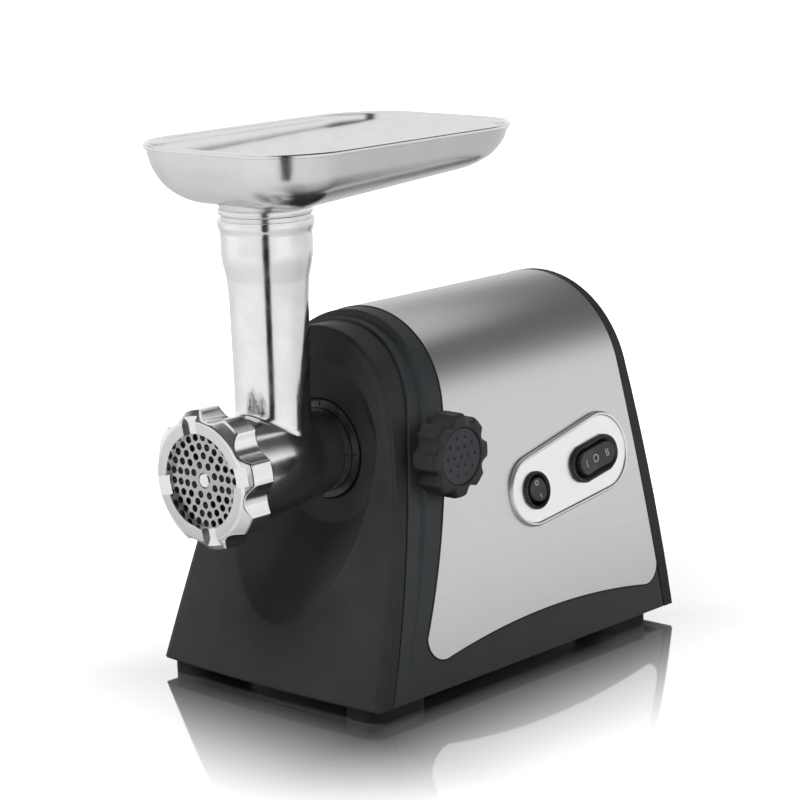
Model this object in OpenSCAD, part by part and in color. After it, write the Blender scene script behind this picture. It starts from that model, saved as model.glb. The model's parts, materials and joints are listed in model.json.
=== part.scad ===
// Electric meat grinder: moulded casing, steel wrap, cast grinding head, pan, gear train, motor.
// Millimetres. +X is the control side, -Y the front with the ring nut, +Z up, floor at z = 0.
// Inside from_throat() the y values are counted from the axis of the feed throat.

/* [Casing] */
// height of the rubber feet under the casing
foot_h = 8; // [6:0.5:12]
// half width of the casing at its foot
foot_half = 88.5; // [86:0.5:92]
// radius of the rounded top
arch_r = 67.6; // [66:0.2:70]
// height of the centre of the rounded top
arch_zc = 148.6; // [147:0.2:152]
// radius of the long bulging flank
flank_r = 722; // [690:1:760]
// wall thickness of the plastic casing
wall = 3; // [2.4:0.1:4]
// thickness of the steel wrap
steel_t = 0.8; // [0.5:0.1:1]

/* [Head] */
// height of the auger axis
axis_z = 138; // [136:0.5:140]
// outside radius of the barrel tail
tail_r = 24.5; // [23.5:0.1:25.5]
// radius of the clear hole in the front of the ring nut
nut_open_r = 27; // [24:0.5:28]
// inside radius of the tray neck
pusher_r = 19.8; // [18:0.1:20.5]
// height of the top of the feed throat
throat_top = 279; // [274:1:284]

/* [Tray] */
// height of the tray rim
rim_z = 322; // [318:1:326]
// half width of the tray
tray_hx = 70.5; // [64:0.5:75]
// half length of the tray
tray_hy = 105; // [98:0.5:112]
// depth of the tray over the throat
tray_depth = 32.5; // [31:0.5:34]
// how much the tray floor rises per millimetre toward the rear
tray_rise = 0.06; // [0:0.01:0.07]
// sheet thickness of the tray
tray_t = 1.2; // [0.8:0.1:1.5]

/* [Controls] */
// height of the clamp knob axis
knob_z = 142.4; // [141:0.2:144]
// distance of the clamp knob behind the throat axis
knob_y = 57.4; // [56:0.2:59]
// radius of the knob lobes
knob_r = 24.5; // [22:0.5:26]
// full travel of the power switch in degrees
power_travel = 14; // [10:1:16]

/* [Hidden] */
$fn = 96;
eps = 0.01;
nut_front = -60;
// the ring nut: length, lobes, thread bore and how far it is turned on
nut_len = 20;
nut_back = nut_front + nut_len;
nut_lobe_r = 39.9;
nut_valley_r = 35.6;
nut_bore_r = 33.4;
nut_face_r = 33.8;
nut_turned = -12;
nut_wall = 4;
slot_w = 11;
slot_d = 2.6;
// the cutting plate and its seat in the barrel
plate_r = 31;
plate_front = nut_front + nut_wall;
plate_back = plate_front + 5;
// the knob's seat: how far its boss stands out of the flank, and the washer under it
boss_out = 3.1;
boss_in = 8.2;
washer_t = 1.2;
// how far the rear screw posts stand in from the casing's skin
post_in = 8.2;
post_top_in = 8.3;
foot_in = 18.5;
// the pan over the throat
tray_cy = 54;
tray_corner = 43.5;
neck_r = 25.6;
neck_plug_r = 23;
rear_end = 262;
throat_y = -(nut_front + rear_end) / 2;

// casing outline: centre of the right flank arc, found from two circle distances
fa = flank_r - arch_r;
fdx = foot_half;
fdz = foot_h - arch_zc;
fd = sqrt(fdx * fdx + fdz * fdz);
ft = (fa * fa - flank_r * flank_r + fd * fd) / (2 * fd);
fh = sqrt(fa * fa - ft * ft);
flank_cx = (ft * fdx + fh * fdz) / fd;
flank_cz = arch_zc + (ft * fdz - fh * fdx) / fd;
join_a = atan2(arch_zc - flank_cz, -flank_cx);
top_z = arch_zc + arch_r;

// the edges of the casing as curves y(z); v runs up in steps of 100 mm
function v_of(z) = (z - foot_h) / 100;
function face_y(z) = -14.2 + 37.5 * v_of(z) - 5.2 * v_of(z) * v_of(z);
function part_y(z) = -1.7 + 30.7 * v_of(z);
function band_y(z) = 7.5 + 38.5 * v_of(z) - 4.2 * v_of(z) * v_of(z);
function steel_y0(z) = 14.8 + 48.2 * v_of(z) - 7.9 * v_of(z) * v_of(z);
function steel_y1(z) = 250.4 - 19.4 * v_of(z) + 6.0 * v_of(z) * v_of(z);
function rear_y(z) = 261.1 - 16.6 * v_of(z) + 3.9 * v_of(z) * v_of(z);

// half width of the casing surface and the lean of the surface, at height z
function flank_x(z) = flank_cx + sqrt(flank_r * flank_r - pow(z - flank_cz, 2));
function half_w(z) = z < arch_zc + arch_r * sin(join_a)
    ? flank_x(z) : sqrt(max(0, arch_r * arch_r - pow(z - arch_zc, 2)));
function lean(z) = asin((z - flank_cz) / flank_r);

// arch outline moved in by top at the crown and by foot at the floor line, down to height z0
function arch_pts(top, foot, z0) =
    let (r = arch_r - top, bx = foot_half - foot, bz = foot_h - arch_zc,
        a = flank_r - r, d = sqrt(bx * bx + bz * bz),
        t = (a * a - flank_r * flank_r + d * d) / (2 * d), h = sqrt(a * a - t * t),
        cx = (t * bx + h * bz) / d, cz = arch_zc + (t * bz - h * bx) / d,
        j = atan2(arch_zc - cz, -cx), e = asin((z0 - cz) / flank_r),
        right = [for (i = [0:9]) let (g = e + (j - e) * i / 9)
            [cx + flank_r * cos(g), cz + flank_r * sin(g)]],
        crown = [for (i = [1:31]) let (g = j + (180 - 2 * j) * i / 32)
            [r * cos(g), arch_zc + r * sin(g)]])
    concat(right, crown, [for (i = [9:-1:0]) [-right[i][0], right[i][1]]]);

// hull of two circles as one outline; c = centre, r = radius, grown by g
function two_circles(c0, r0, c1, r1, g) =
    let (dx = c1[0] - c0[0], dy = c1[1] - c0[1], d = sqrt(dx * dx + dy * dy),
        w = atan2(dy, dx), a = acos((r0 - r1) / d))
    concat([for (i = [0:20]) let (q = w - a + 2 * a * i / 20)
            [c1[0] + (r1 + g) * cos(q), c1[1] + (r1 + g) * sin(q)]],
        [for (i = [0:20]) let (q = w + a + (360 - 2 * a) * i / 20)
            [c0[0] + (r0 + g) * cos(q), c0[1] + (r0 + g) * sin(q)]]);

// rounded rectangle outline, half sizes a and b, corner radius r, n points per corner
function round_rect(a, b, r, n) =
    [for (c = [[a - r, b - r, 0], [r - a, b - r, 90], [r - a, r - b, 180], [a - r, r - b, 270]])
        for (i = [0:n]) [c[0] + r * cos(c[2] + 90 * i / n), c[1] + r * sin(c[2] + 90 * i / n)]];

// involute spur gear outline: module m, n teeth, t = tooth thinning for backlash
function inv_a(rb, r) = let (c = rb / r) (sqrt(1 - c * c) / c) * 180 / PI - acos(c);
function gear_pts(m, n, t) =
    let (rp = m * n / 2, ra = rp + m, rf = rp - 1.2 * m, rb = rp * cos(20), rs = max(rb, rf),
        half = 90 / n - t / rp * 90 / PI + inv_a(rb, rp),
        up = [for (i = [0:4]) let (r = rs + (ra - rs) * i / 4) [r, half - inv_a(rb, r)]])
    [for (k = [0:n - 1]) let (o = 360 * k / n)
        each concat([[rf * cos(o - half), rf * sin(o - half)]],
            [for (p = up) [p[0] * cos(o - p[1]), p[0] * sin(o - p[1])]],
            [for (i = [4:-1:0]) [up[i][0] * cos(o + up[i][1]), up[i][0] * sin(o + up[i][1])]],
            [[rf * cos(o + half), rf * sin(o + half)]])];

// gear train: the third corner of a triangle with sides a (from p) and b (from q)
function corner(p, q, a, b, s) =
    let (dx = q[0] - p[0], dy = q[1] - p[1], d = sqrt(dx * dx + dy * dy),
        t = (a * a - b * b + d * d) / (2 * d), h = sqrt(a * a - t * t))
    [p[0] + (t * dx - s * h * dy) / d, p[1] + (t * dy + s * h * dx) / d];
m_out = 1.75;
m_mid = 1.25;
m_in = 1;
n_out = 40;
n_sp = 12;
n_sw = 48;
n_fp = 12;
n_fw = 50;
n_mp = 10;
out_p = [0, axis_z];
mot_p = [0, 60];
cd_out = m_out * (n_out + n_sp) / 2;
cd_mid = m_mid * (n_sw + n_fp) / 2;
cd_in = m_in * (n_fw + n_mp) / 2;
sec_p = [-26, axis_z - sqrt(cd_out * cd_out - 26 * 26)];
fir_p = corner(sec_p, mot_p, cd_mid, cd_in, 1);
// angle seen along +Y from p to q, and the turn that puts a tooth of one into a gap of the other
function dir_a(p, q) = atan2(q[1] - p[1], q[0] - p[0]);

module from_throat() {
    translate([0, throat_y, 0])
        children();
}
// a sketch in (x, z) pushed along +Y from y0 over length l
module along_y(y0, l) {
    translate([0, y0 + l, 0])
        rotate([90, 0, 0])
            linear_extrude(height = l)
                children();
}
// a sketch in (y, z) pushed along +X from x0 over length l
module along_x(x0, l) {
    translate([x0, 0, 0])
        rotate([90, 0, 90])
            linear_extrude(height = l)
                children();
}
// solid of revolution about the auger axis; points are (radius, y)
module spun_y(p) {
    translate([0, 0, axis_z])
        rotate([-90, 0, 0])
            rotate_extrude()
                polygon(p);
}
module rod_y(x, z, r, y0, y1) {
    translate([x, y0, z])
        rotate([-90, 0, 0])
            cylinder(r = r, h = y1 - y0);
}
module rod_x(y, z, r, x0, x1) {
    translate([x0, y, z])
        rotate([0, 90, 0])
            cylinder(r = r, h = x1 - x0);
}
// arch slab between y0 and y1
module arch(top, foot, z0, y0, y1) {
    along_y(y0, y1 - y0)
        polygon(arch_pts(top, foot, z0));
}
// everything between two edge curves, as an outline in (y, z); k picks the curve
function edge(k, z) = k == 0 ? face_y(z) : k == 1 ? part_y(z) : k == 2 ? band_y(z)
    : k == 3 ? steel_y0(z) : k == 4 ? steel_y1(z) : rear_y(z);
module between(k0, d0, k1, d1) {
    along_x(-110, 220)
        polygon(concat([for (i = [0:10]) let (z = i * 23) [edge(k0, z) + d0, z]],
            [for (i = [10:-1:0]) let (z = i * 23) [edge(k1, z) + d1, z]]));
}
// the bulging front surface: turned about an upright line far behind the face
face_turn = 976;
module face_body(d) {
    function fr(z) = sqrt(pow(face_turn - face_y(z) - d, 2) + pow(half_w(max(z, foot_h)), 2));
    translate([0, face_turn, 0])
        intersection() {
            rotate_extrude($fn = 360)
                polygon(concat([[face_turn - 120, 0]],
                    [for (i = [0:10]) let (z = i * 22) [fr(z), z]],
                    [[face_turn - 120, 220]]));
            translate([-110, -face_turn - 60, 0])
                cube([220, 260, 220]);
        }
}
// frame on the control flank: sketches lie on the surface at (y, z), pushed outward
plate_tilt = 9.2;
module on_flank(y, z, tilt, depth) {
    translate([flank_x(z), y, z])
        rotate([0, -lean(z), 0])
            rotate([90, 0, 90])
                rotate([0, 0, tilt])
                    translate([0, 0, depth])
                        children();
}
pl_y = 135.3;
pl_z = 104.9;
module plate_sketch(g) {
    polygon(two_circles([0, 0], 21.5, [67.5, 0], 24.6, g));
}
module on_plate(depth) {
    on_flank(pl_y, pl_z, plate_tilt, depth)
        children();
}

// skin through equal rings of points that run anticlockwise about the way the rings go
module loft(rings) {
    n = len(rings[0]);
    e = (len(rings) - 1) * n;
    polyhedron(
        points = [for (r = rings) each r],
        faces = concat([for (i = [1:n - 2]) [0, i, i + 1]],
            [for (i = [1:n - 2]) [e, e + i + 1, e + i]],
            [for (j = [0:len(rings) - 2]) for (i = [0:n - 1])
                let (a = j * n + i, b = j * n + (i + 1) % n)
                each [[a, b + n, b], [a, a + n, b + n]]]));
}

/* casing pieces */
knob_seat = round((flank_x(knob_z) + boss_out) * 10) / 10;
knob_back = knob_seat + washer_t;
knob_shoulder = knob_back + 14.2;
knob_front = knob_back + 16.6;
dish_y = 40;
// outline of the dish and scoop mouth on the front face, and the round floor behind it
function mouth(g) = [for (i = [0:63]) let (a = -360 * i / 64)
    [(55 + g) * cos(a), (sin(a) < 0 ? 96 + g : 55 + g) * sin(a)]];
function mouth_y(z) = -5.8 + 0.285 * (z - 42);
module pocket(g) {
    m = mouth(g);
    loft([[for (p = m) [p[0], mouth_y(axis_z + p[1]) - 25, axis_z + p[1]]],
        [for (p = m) [p[0], mouth_y(axis_z + p[1]) + g, axis_z + p[1]]],
        [for (i = [0:63]) let (a = -360 * i / 64)
            [(43.3 + g) * cos(a), dish_y + g, axis_z + (43.3 + g) * sin(a)]]]);
}
module front_cover() {
    color("#2f3031")
        from_throat()
            difference() {
                union() {
                    difference() {
                        intersection() {
                            union() {
                                intersection() {
                                    arch(5.6, 0.5, foot_h, -70, 90);
                                    face_body(1.6);
                                }
                                intersection() {
                                    arch(7.8, 2.6, foot_h, -70, 90);
                                    face_body(0);
                                }
                            }
                            between(0, -30, 1, 0);
                        }
                        intersection() {
                            arch(9.4, 4.2, foot_h + 3, -70, 120);
                            face_body(4.4);
                        }
                    }
                    intersection() {
                        pocket(3);
                        face_body(2);
                    }
                }
                pocket(0);
                rod_y(0, axis_z, 29.7, 20, 60);
            }
}
// outline of the steel wrap seen from the side, grown by g
function steel_pts(g) = let (fz = 40.2, rz = 37.8)
    concat([for (i = [0:7]) let (z = 224 - (224 - fz) * i / 7) [steel_y0(z) - g, z]],
        [for (i = [1:8]) let (a = 180 + 86 * i / 9)
            [45 + (15 + g) * cos(a), fz + (15 + g) * sin(a)]],
        [for (i = [0:16]) let (y = 46 + 186 * i / 16) [y, 33.9 - pow(y - 141, 2) / 1048 - g]],
        [for (i = [1:8]) let (a = 274 + 86 * i / 9)
            [233 + (12 + g) * cos(a), rz + (12 + g) * sin(a)]],
        [for (i = [0:7]) let (z = rz + (224 - rz) * i / 7) [steel_y1(z) + g, z]]);
module steel_skin(g, out) {
    intersection() {
        difference() {
            arch(-out, -out, foot_h, -20, 280);
            arch(steel_t, steel_t, foot_h - 2, -30, 290);
        }
        along_x(-110, 220)
            polygon(steel_pts(g));
    }
}
// screw posts at the rear, two low and two high
post_low = [round((flank_x(28) - post_in) * 10) / 10, 28];
post_top_r = arch_r - post_top_in;
post_top = [post_top_r * cos(40), arch_zc + post_top_r * sin(40)];
module rear_posts(r, y0, y1) {
    for (s = [-1, 1]) {
        rod_y(s * post_low[0], post_low[1], r, y0, y1);
        rod_y(s * post_top[0], post_top[1], r, y0, y1);
    }
}
module side_cuts() {
    on_plate(-1.4)
        linear_extrude(height = 8)
            plate_sketch(0.15);
}
module casing() {
    color("#333537")
        from_throat()
            difference() {
                union() {
                    difference() {
                        union() {
                            intersection() {
                                arch(0, 0, foot_h, -20, 280);
                                between(2, 0, 4, 0.4);
                            }
                            intersection() {
                                arch(4.2, 0.35, foot_h, -20, 100);
                                between(1, 0, 2, 0.5);
                            }
                        }
                        arch(7.4, 3.4, foot_h - 2, -60, 66);
                        intersection() {
                            arch(wall + steel_t + 0.2, 3.4, foot_h - 2, -60, 290);
                            between(2, 3.5, 4, 20);
                        }
                    }
                    intersection() {
                        rear_posts(5.5, 214, 240);
                        between(2, 0, 4, -3);
                        arch(2, 2, foot_h, 0, 280);
                    }
                    rod_x(knob_y, knob_z, 6.8, knob_seat - boss_in, knob_seat);
                }
                steel_skin(0.3, 2);
                side_cuts();
                rear_posts(1.5, 213, 262);
                rod_x(knob_y, knob_z, 4.4, 50, 90);
                on_plate(-9)
                    translate([pw_a, pw_b, 0])
                        cylinder(r = 9.8, h = 14);
                on_plate(-9)
                    translate([dr_a, dr_b, 0])
                        linear_extrude(height = 14)
                            polygon(round_rect(20.2, 9.2, 9.1, 8));
            }
}
module steel_wrap() {
    color("#c9c9c6")
        from_throat()
            difference() {
                steel_skin(0, 0);
                side_cuts();
            }
}
gl_x = -46;
gl_z = 33;
module rear_cover() {
    color("#2b2c2e")
        from_throat()
            difference() {
                union() {
                    difference() {
                        union() {
                            intersection() {
                                arch(0, 0, foot_h, 200, 280);
                                between(4, 0.4, 5, -2.5);
                            }
                            intersection() {
                                arch(2.4, 2.4, foot_h, 200, 280);
                                between(4, 0.4, 5, 0);
                            }
                        }
                        intersection() {
                            arch(5.5, 5.5, foot_h + 3, 190, 290);
                            between(4, -20, 5, -3.2);
                        }
                    }
                    intersection() {
                        rear_posts(5.5, 225, 262);
                        between(4, 0.4, 5, -1);
                        arch(2, 2, foot_h, 190, 290);
                    }
                    rod_y(gl_x, gl_z, 12, 250, 259);
                }
                rear_posts(1.7, 213, 262);
                for (s = [-1, 1]) {
                    rod_y(s * post_low[0], post_low[1], 3.4, rear_y(post_low[1]) - 4, 270);
                    rod_y(s * post_top[0], post_top[1], 3.4, rear_y(post_top[1]) - 4, 270);
                }
                rod_y(gl_x, gl_z, 6.1, 230, 270);
                for (i = [-5:5])
                    along_y(230, 40)
                        polygon([for (p = round_rect(1.5, 26, 1.4, 4)) [p[0] + 8 * i, p[1] + 76]]);
                for (i = [-4:4])
                    along_y(225, 40)
                        polygon([for (p = round_rect(1.5, 14, 1.4, 4)) [p[0] + 8 * i, p[1] + 160]]);
            }
}
base_front = part_y(foot_h + 3) + 0.2;
module base_plate() {
    color("#2a2b2c")
        from_throat()
            difference() {
                union() {
                    intersection() {
                        arch(7.6, 3.6, foot_h, base_front, 240);
                        translate([-100, base_front, foot_h])
                            cube([200, 245 - base_front, 3]);
                    }
                    for (p = foot_c)
                        translate([p[0], p[1], foot_h])
                            cylinder(r = 5, h = 9);
                }
                for (p = foot_c)
                    translate([p[0], p[1], foot_h - 1])
                        cylinder(r = 1.6, h = 9);
                for (i = [-4:4])
                    translate([i * 9 - 1.5, 214, 0])
                        cube([3, 24, 20]);
            }
}
foot_x = foot_half - foot_in;
foot_c = [[-foot_x, 11], [foot_x, 11], [-foot_x, 218], [foot_x, 218]];
module feet() {
    color("#1d1e1f")
        from_throat()
            for (p = foot_c)
                translate([p[0], p[1], 0])
                    difference() {
                        linear_extrude(height = foot_h)
                            polygon(round_rect(15, 23.5, 12, 8));
                        translate([0, 0, -1])
                            cylinder(r = 4.4, h = 4.5);
                        cylinder(r = 2.1, h = 9);
                    }
}
module base_screws() {
    color("#b9bab8")
        from_throat()
            for (p = foot_c)
                translate([p[0], p[1], 0]) {
                    difference() {
                        translate([0, 0, 1.5])
                            cylinder(r = 3.9, h = 2);
                        for (q = [0, 90])
                            rotate([0, 0, q])
                                translate([-2.2, -0.5, 0])
                                    cube([4.4, 1, 2.4]);
                    }
                    translate([0, 0, 3.4])
                        cylinder(r = 1.6, h = 12);
                }
}
module rear_cover_screws() {
    color("#b9bab8")
        from_throat()
            for (s = [-1, 1])
                for (q = [post_low, post_top]) {
                    rod_y(s * q[0], q[1], 3.2, rear_y(q[1]) - 4, rear_y(q[1]) - 2);
                    rod_y(s * q[0], q[1], 1.5, rear_y(q[1]) - 22, rear_y(q[1]) - 3.9);
                }
}
module cord_gland() {
    color("#19191a")
        from_throat()
            difference() {
                union() {
                    rod_y(gl_x, gl_z, 9, 259, rear_end);
                    rod_y(gl_x, gl_z, 6, 248, 260);
                    rod_y(gl_x, gl_z, 8, 246, 250);
                }
                rod_y(gl_x, gl_z, 3.6, 240, 270);
            }
}

/* controls */
pw_a = 1.2;
pw_b = -0.4;
dr_a = 57.9;
dr_b = -1;
module control_plate() {
    color("#e3e4e3")
        from_throat()
            on_plate(0)
                difference() {
                    union() {
                        translate([0, 0, -1.4])
                            linear_extrude(height = 3)
                                plate_sketch(0);
                        linear_extrude(height = 2.8)
                            difference() {
                                plate_sketch(-0.7);
                                plate_sketch(-3);
                            }
                    }
                    translate([pw_a, pw_b, -5])
                        cylinder(r = 9.7, h = 12);
                    translate([dr_a, dr_b, -5])
                        linear_extrude(height = 12)
                            polygon(round_rect(20.1, 9.1, 9, 8));
                }
}
module power_switch_frame() {
    color("#1b1c1d")
        from_throat()
            on_plate(0)
                translate([pw_a, pw_b, 0])
                    difference() {
                        union() {
                            translate([0, 0, 1.6])
                                cylinder(r = 11.4, h = 2.2);
                            translate([0, 0, -15])
                                cylinder(r = 9.6, h = 17);
                            for (s = [-1, 1])
                                translate([s * 4 - 0.4, -2.5, -21])
                                    cube([0.8, 5, 7]);
                        }
                        translate([0, 0, -9])
                            cylinder(r = 8.9, h = 20);
                    }
}
// rocker whose roof is a shallow V; a = roof slope, pivot at the origin, axis along x
module rocker_side(r, a, top) {
    intersection() {
        circle(r = r);
        polygon([[-r - 1, -r * 0.45], [r + 1, -r * 0.45], [r + 1, top + (r + 1) * tan(a)],
            [0, top], [-r - 1, top + (r + 1) * tan(a)]]);
    }
}
pw_deep = -0.6;
module power_rocker() {
    color("#141516")
        from_throat()
            on_plate(pw_deep)
                translate([pw_a, pw_b, 0])
                    rotate([-power_travel / 2, 0, 0])
                        intersection() {
                            sphere(r = 8.55);
                            rotate([90, 0, 90])
                                translate([0, 0, -9])
                                    linear_extrude(height = 18)
                                        rocker_side(8.5, power_travel / 2, 4.2);
                        }
}
module direction_switch_frame() {
    color("#1b1c1d")
        from_throat()
            on_plate(0)
                translate([dr_a, dr_b, 0])
                    difference() {
                        union() {
                            translate([0, 0, 1.6])
                                linear_extrude(height = 2.6)
                                    polygon(round_rect(22.4, 11.5, 11.4, 10));
                            translate([0, 0, -16])
                                linear_extrude(height = 18)
                                    polygon(round_rect(20, 9, 8.9, 8));
                            for (s = [-1, 0, 1])
                                translate([s * 8 - 0.4, -2.5, -22])
                                    cube([0.8, 5, 7]);
                        }
                        translate([0, 0, -11])
                            linear_extrude(height = 20)
                                polygon(round_rect(18.2, 7.8, 7.7, 8));
                    }
}
module direction_rocker() {
    color("#141516")
        from_throat()
            on_plate(-0.4)
                translate([dr_a, dr_b, 0])
                    difference() {
                        intersection() {
                            translate([0, 0, -6])
                                linear_extrude(height = 14)
                                    polygon(round_rect(16.8, 7.2, 7.1, 8));
                            rotate([90, 0, 0])
                                translate([0, 0, -8])
                                    linear_extrude(height = 16)
                                        polygon([[-17, -3.5], [17, -3.5], [17, 6.3], [0, 4.4],
                                            [-17, 6.3]]);
                        }
                        translate([0, 0, 3.9])
                            cylinder(r = 1.4, h = 4);
                    }
}
function lobed(n, r0, r1, k) = [for (i = [0:k - 1]) let (a = 360 * i / k,
    r = (r0 + r1) / 2 + (r1 - r0) / 2 * cos(n * a)) [r * cos(a), r * sin(a)]];
module clamp_knob() {
    color("#1f2021")
        from_throat()
            translate([0, knob_y, knob_z])
                difference() {
                    intersection() {
                        rotate([90, 0, 90])
                            translate([0, 0, knob_back - 5.4])
                                linear_extrude(height = 30)
                                    polygon(lobed(8, knob_r - 3.4, knob_r, 120));
                        rotate([0, 90, 0])
                            rotate_extrude()
                                polygon([[0, knob_back], [13, knob_back], [knob_r, knob_back + 4],
                                    [knob_r, knob_shoulder], [knob_r - 4, knob_front],
                                    [0, knob_front]]);
                    }
                    rod_x(0, 0, 16.2, knob_shoulder, knob_front + 3);
                    rod_x(0, 0, 4, knob_back - 5.4, knob_back + 10.6);
                }
}
module knob_cap() {
    color("#26272a")
        from_throat()
            translate([0, knob_y, knob_z])
                difference() {
                    rod_x(0, 0, 16, knob_shoulder, knob_shoulder + 1.6);
                    for (r = [[0, 1], [6, 6], [11.5, 10]])
                        for (i = [0:r[1] - 1])
                            rod_x(r[0] * cos(360 * i / r[1]), r[0] * sin(360 * i / r[1]), 0.9,
                                90.6, 92);
                }
}
module clamp_screw() {
    color("#b4b5b6")
        from_throat()
            union() {
                rod_x(knob_y, knob_z, 4, 27, knob_back + 10.6);
                translate([24.9, knob_y, knob_z])
                    rotate([0, 90, 0])
                        cylinder(r1 = 2.6, r2 = 4, h = 2.2);
            }
}
module clamp_washer() {
    color("#c3c4c4")
        from_throat()
            translate([0, knob_y, knob_z])
                difference() {
                    rod_x(0, 0, 8, knob_seat, knob_back);
                    rod_x(0, 0, 4.35, knob_seat - 4.2, knob_back + 4.6);
                }
}

/* head socket and grinding head */
module port_ring() {
    color("#55585a")
        from_throat()
            difference() {
                spun_y([[tail_r + 0.3, 38], [28.6, 38], [29.5, 39], [29.5, 44], [tail_r + 0.3, 44]]);
                for (a = [0, 90, 180, 270])
                    translate([0, 0, axis_z])
                        rotate([0, a, 0])
                            translate([-0.7, 37, 26])
                                cube([1.4, 1.6, 2.4]);
            }
}
module head_socket() {
    color("#3a3c3e")
        from_throat()
            difference() {
                union() {
                    spun_y([[tail_r + 0.1, 44], [28.5, 44], [28.5, 84], [36, 86], [36, 90],
                        [tail_r + 0.1, 90]]);
                    intersection() {
                        rod_x(knob_y, knob_z, 8.5, 20, 42);
                        translate([0, 44, 100])
                            cube([50, 40, 80]);
                    }
                }
                spun_y([[0, 20], [tail_r + 0.1, 20], [tail_r + 0.1, 100], [0, 100]]);
                rod_x(knob_y, knob_z, 4.35, 10, 50);
            }
}
throat_out = [[0, 140], [21.6, 140], [21.6, 172], [22.5, 232], [23, 241.5], [23.4, 245],
    [24.2, 248], [25.1, 252], [26, 257], [26.1, 272], [27.4, 275], [27.5, throat_top],
    [0, throat_top]];
module grinder_barrel() {
    color("#c8c9ca")
        from_throat()
            difference() {
                union() {
                    spun_y([[0, -54], [nut_bore_r - 0.3, -54], [nut_bore_r - 0.3, nut_back + 0.5],
                        [31.8, nut_back + 2], [30, -10], [25, 33], [tail_r, 36], [tail_r, 78], [0, 78]]);
                    rotate_extrude()
                        polygon(throat_out);
                    translate([0, 0, axis_z])
                        cylinder(r = 23.4, h = 29.6);
                }
                spun_y([[0, nut_front], [plate_r + 0.1, nut_front], [plate_r + 0.1, plate_back], [28.5, plate_back],
                    [28.5, -46],
                    [21.2, 38], [19, 42], [13, 42], [13, 90], [0, 90]]);
                spun_y([[16, 54], [21, 54], [21, 90], [16, 90]]);
                translate([0, 0, axis_z])
                    cylinder(r = 19.4, h = 200);
                translate([0, 0, 257])
                    cylinder(r = 23.1, h = 60);
            }
}
module auger_bush() {
    color("#d8d2c0")
        from_throat()
            spun_y([[8.06, 43], [10, 42.4], [12.98, 42.4], [12.98, 77.9], [8.06, 77.9]]);
}
// auger flight: a four-sided section carried along a helix; taper follows the barrel bore
fl_n = 96;
function bore_r(y) = y < -46 ? 28.5 : 28.5 - (28.5 - 21.2) * (y + 46) / 84;
function core_r(y) = 9 + 3.6 * (y + 45) / 80;
function fl_ring(i) = let (u = i / fl_n, y = -43.5 + 76 * u, a = 360 * 3.4 * u,
    ro = bore_r(y + 2) - 0.8, ri = core_r(y) - 2)
    [for (p = [[ri, -2.6], [ro, -1.2], [ro, 1.2], [ri, 2.6]])
        [p[0] * cos(a), y + p[1], p[0] * sin(a)]];
module auger() {
    color("#c4c5c6")
        from_throat() {
            union() {
                spun_y([[0, -46.2], [9, -46.2], [12.6, 35], [11.6, 38], [8, 39.5], [8, 78],
                    [0, 78]]);
                spun_y([[0, -56.4], [3.6, -56.4], [4.5, -55.4], [4.5, -50], [0, -50]]);
                translate([-4.5, -50.9, axis_z - 4.5])
                    cube([9, 5, 9]);
                rod_hex(13.4, 77.5, 94);
                translate([0, 0, axis_z])
                    loft([for (i = [0:fl_n]) fl_ring(i)]);
            }
        }
}
module rod_hex(af, y0, y1) {
    translate([0, y0, axis_z])
        rotate([-90, 0, 0])
            cylinder(r = af / sqrt(3), h = y1 - y0, $fn = 6);
}
module cutting_blade() {
    color("#a9adb1")
        from_throat()
            translate([0, 0, axis_z])
                difference() {
                    union() {
                        rod_y(0, 0, 10, -50.95, -46.4);
                        for (a = [0:90:270])
                            rotate([0, a, 0])
                                along_y(-50.95, 4.2)
                                    polygon([[-4.6, 6], [4.6, 6], [5.6, 26.2], [0.6, 26.6],
                                        [-3.4, 25]]);
                    }
                    translate([-4.55, -60, -4.55])
                        cube([9.1, 20, 9.1]);
                }
}
module cutting_plate() {
    color("#9da1a5")
        from_throat()
            translate([0, 0, axis_z])
                difference() {
                    rod_y(0, 0, 31, -56, -51);
                    rod_y(0, 0, 4.6, -60, -40);
                    for (r = [[9, 8], [14.2, 14], [19.4, 20], [24.6, 26]])
                        for (i = [0:r[1] - 1])
                            rod_y(r[0] * cos(360 * (i + 0.5) / r[1]),
                                r[0] * sin(360 * (i + 0.5) / r[1]), 2.1, -60, -40);
                    rod_y(0, 31.4, 2.1, -60, -40);
                }
}
module ring_nut() {
    color("#d2d3d3")
        from_throat()
            translate([0, 0, axis_z])
                rotate([0, nut_turned, 0])
                    translate([0, 0, -axis_z])
                        difference() {
                            intersection() {
                                translate([0, 0, axis_z])
                                    along_y(nut_front, nut_len)
                                        polygon(lobed(8, nut_valley_r, nut_lobe_r, 128));
                                spun_y([[0, nut_front], [nut_face_r, nut_front],
                                    [nut_lobe_r + 0.4, nut_front + 8.5],
                                    [nut_lobe_r + 0.4, nut_back - 2],
                                    [nut_lobe_r - 1.6, nut_back], [0, nut_back]]);
                            }
                            spun_y([[0, nut_front - 10], [nut_open_r, nut_front - 10],
                                [nut_open_r, plate_front], [nut_bore_r, plate_front],
                                [nut_bore_r, nut_back + 10], [0, nut_back + 10]]);
                            for (a = [0:90:270])
                                translate([0, 0, axis_z])
                                    rotate([0, a, 0])
                                        translate([-slot_w / 2, nut_front - 2, nut_open_r - 7])
                                            cube([slot_w, slot_d + 2, 30]);
                        }
}
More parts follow.
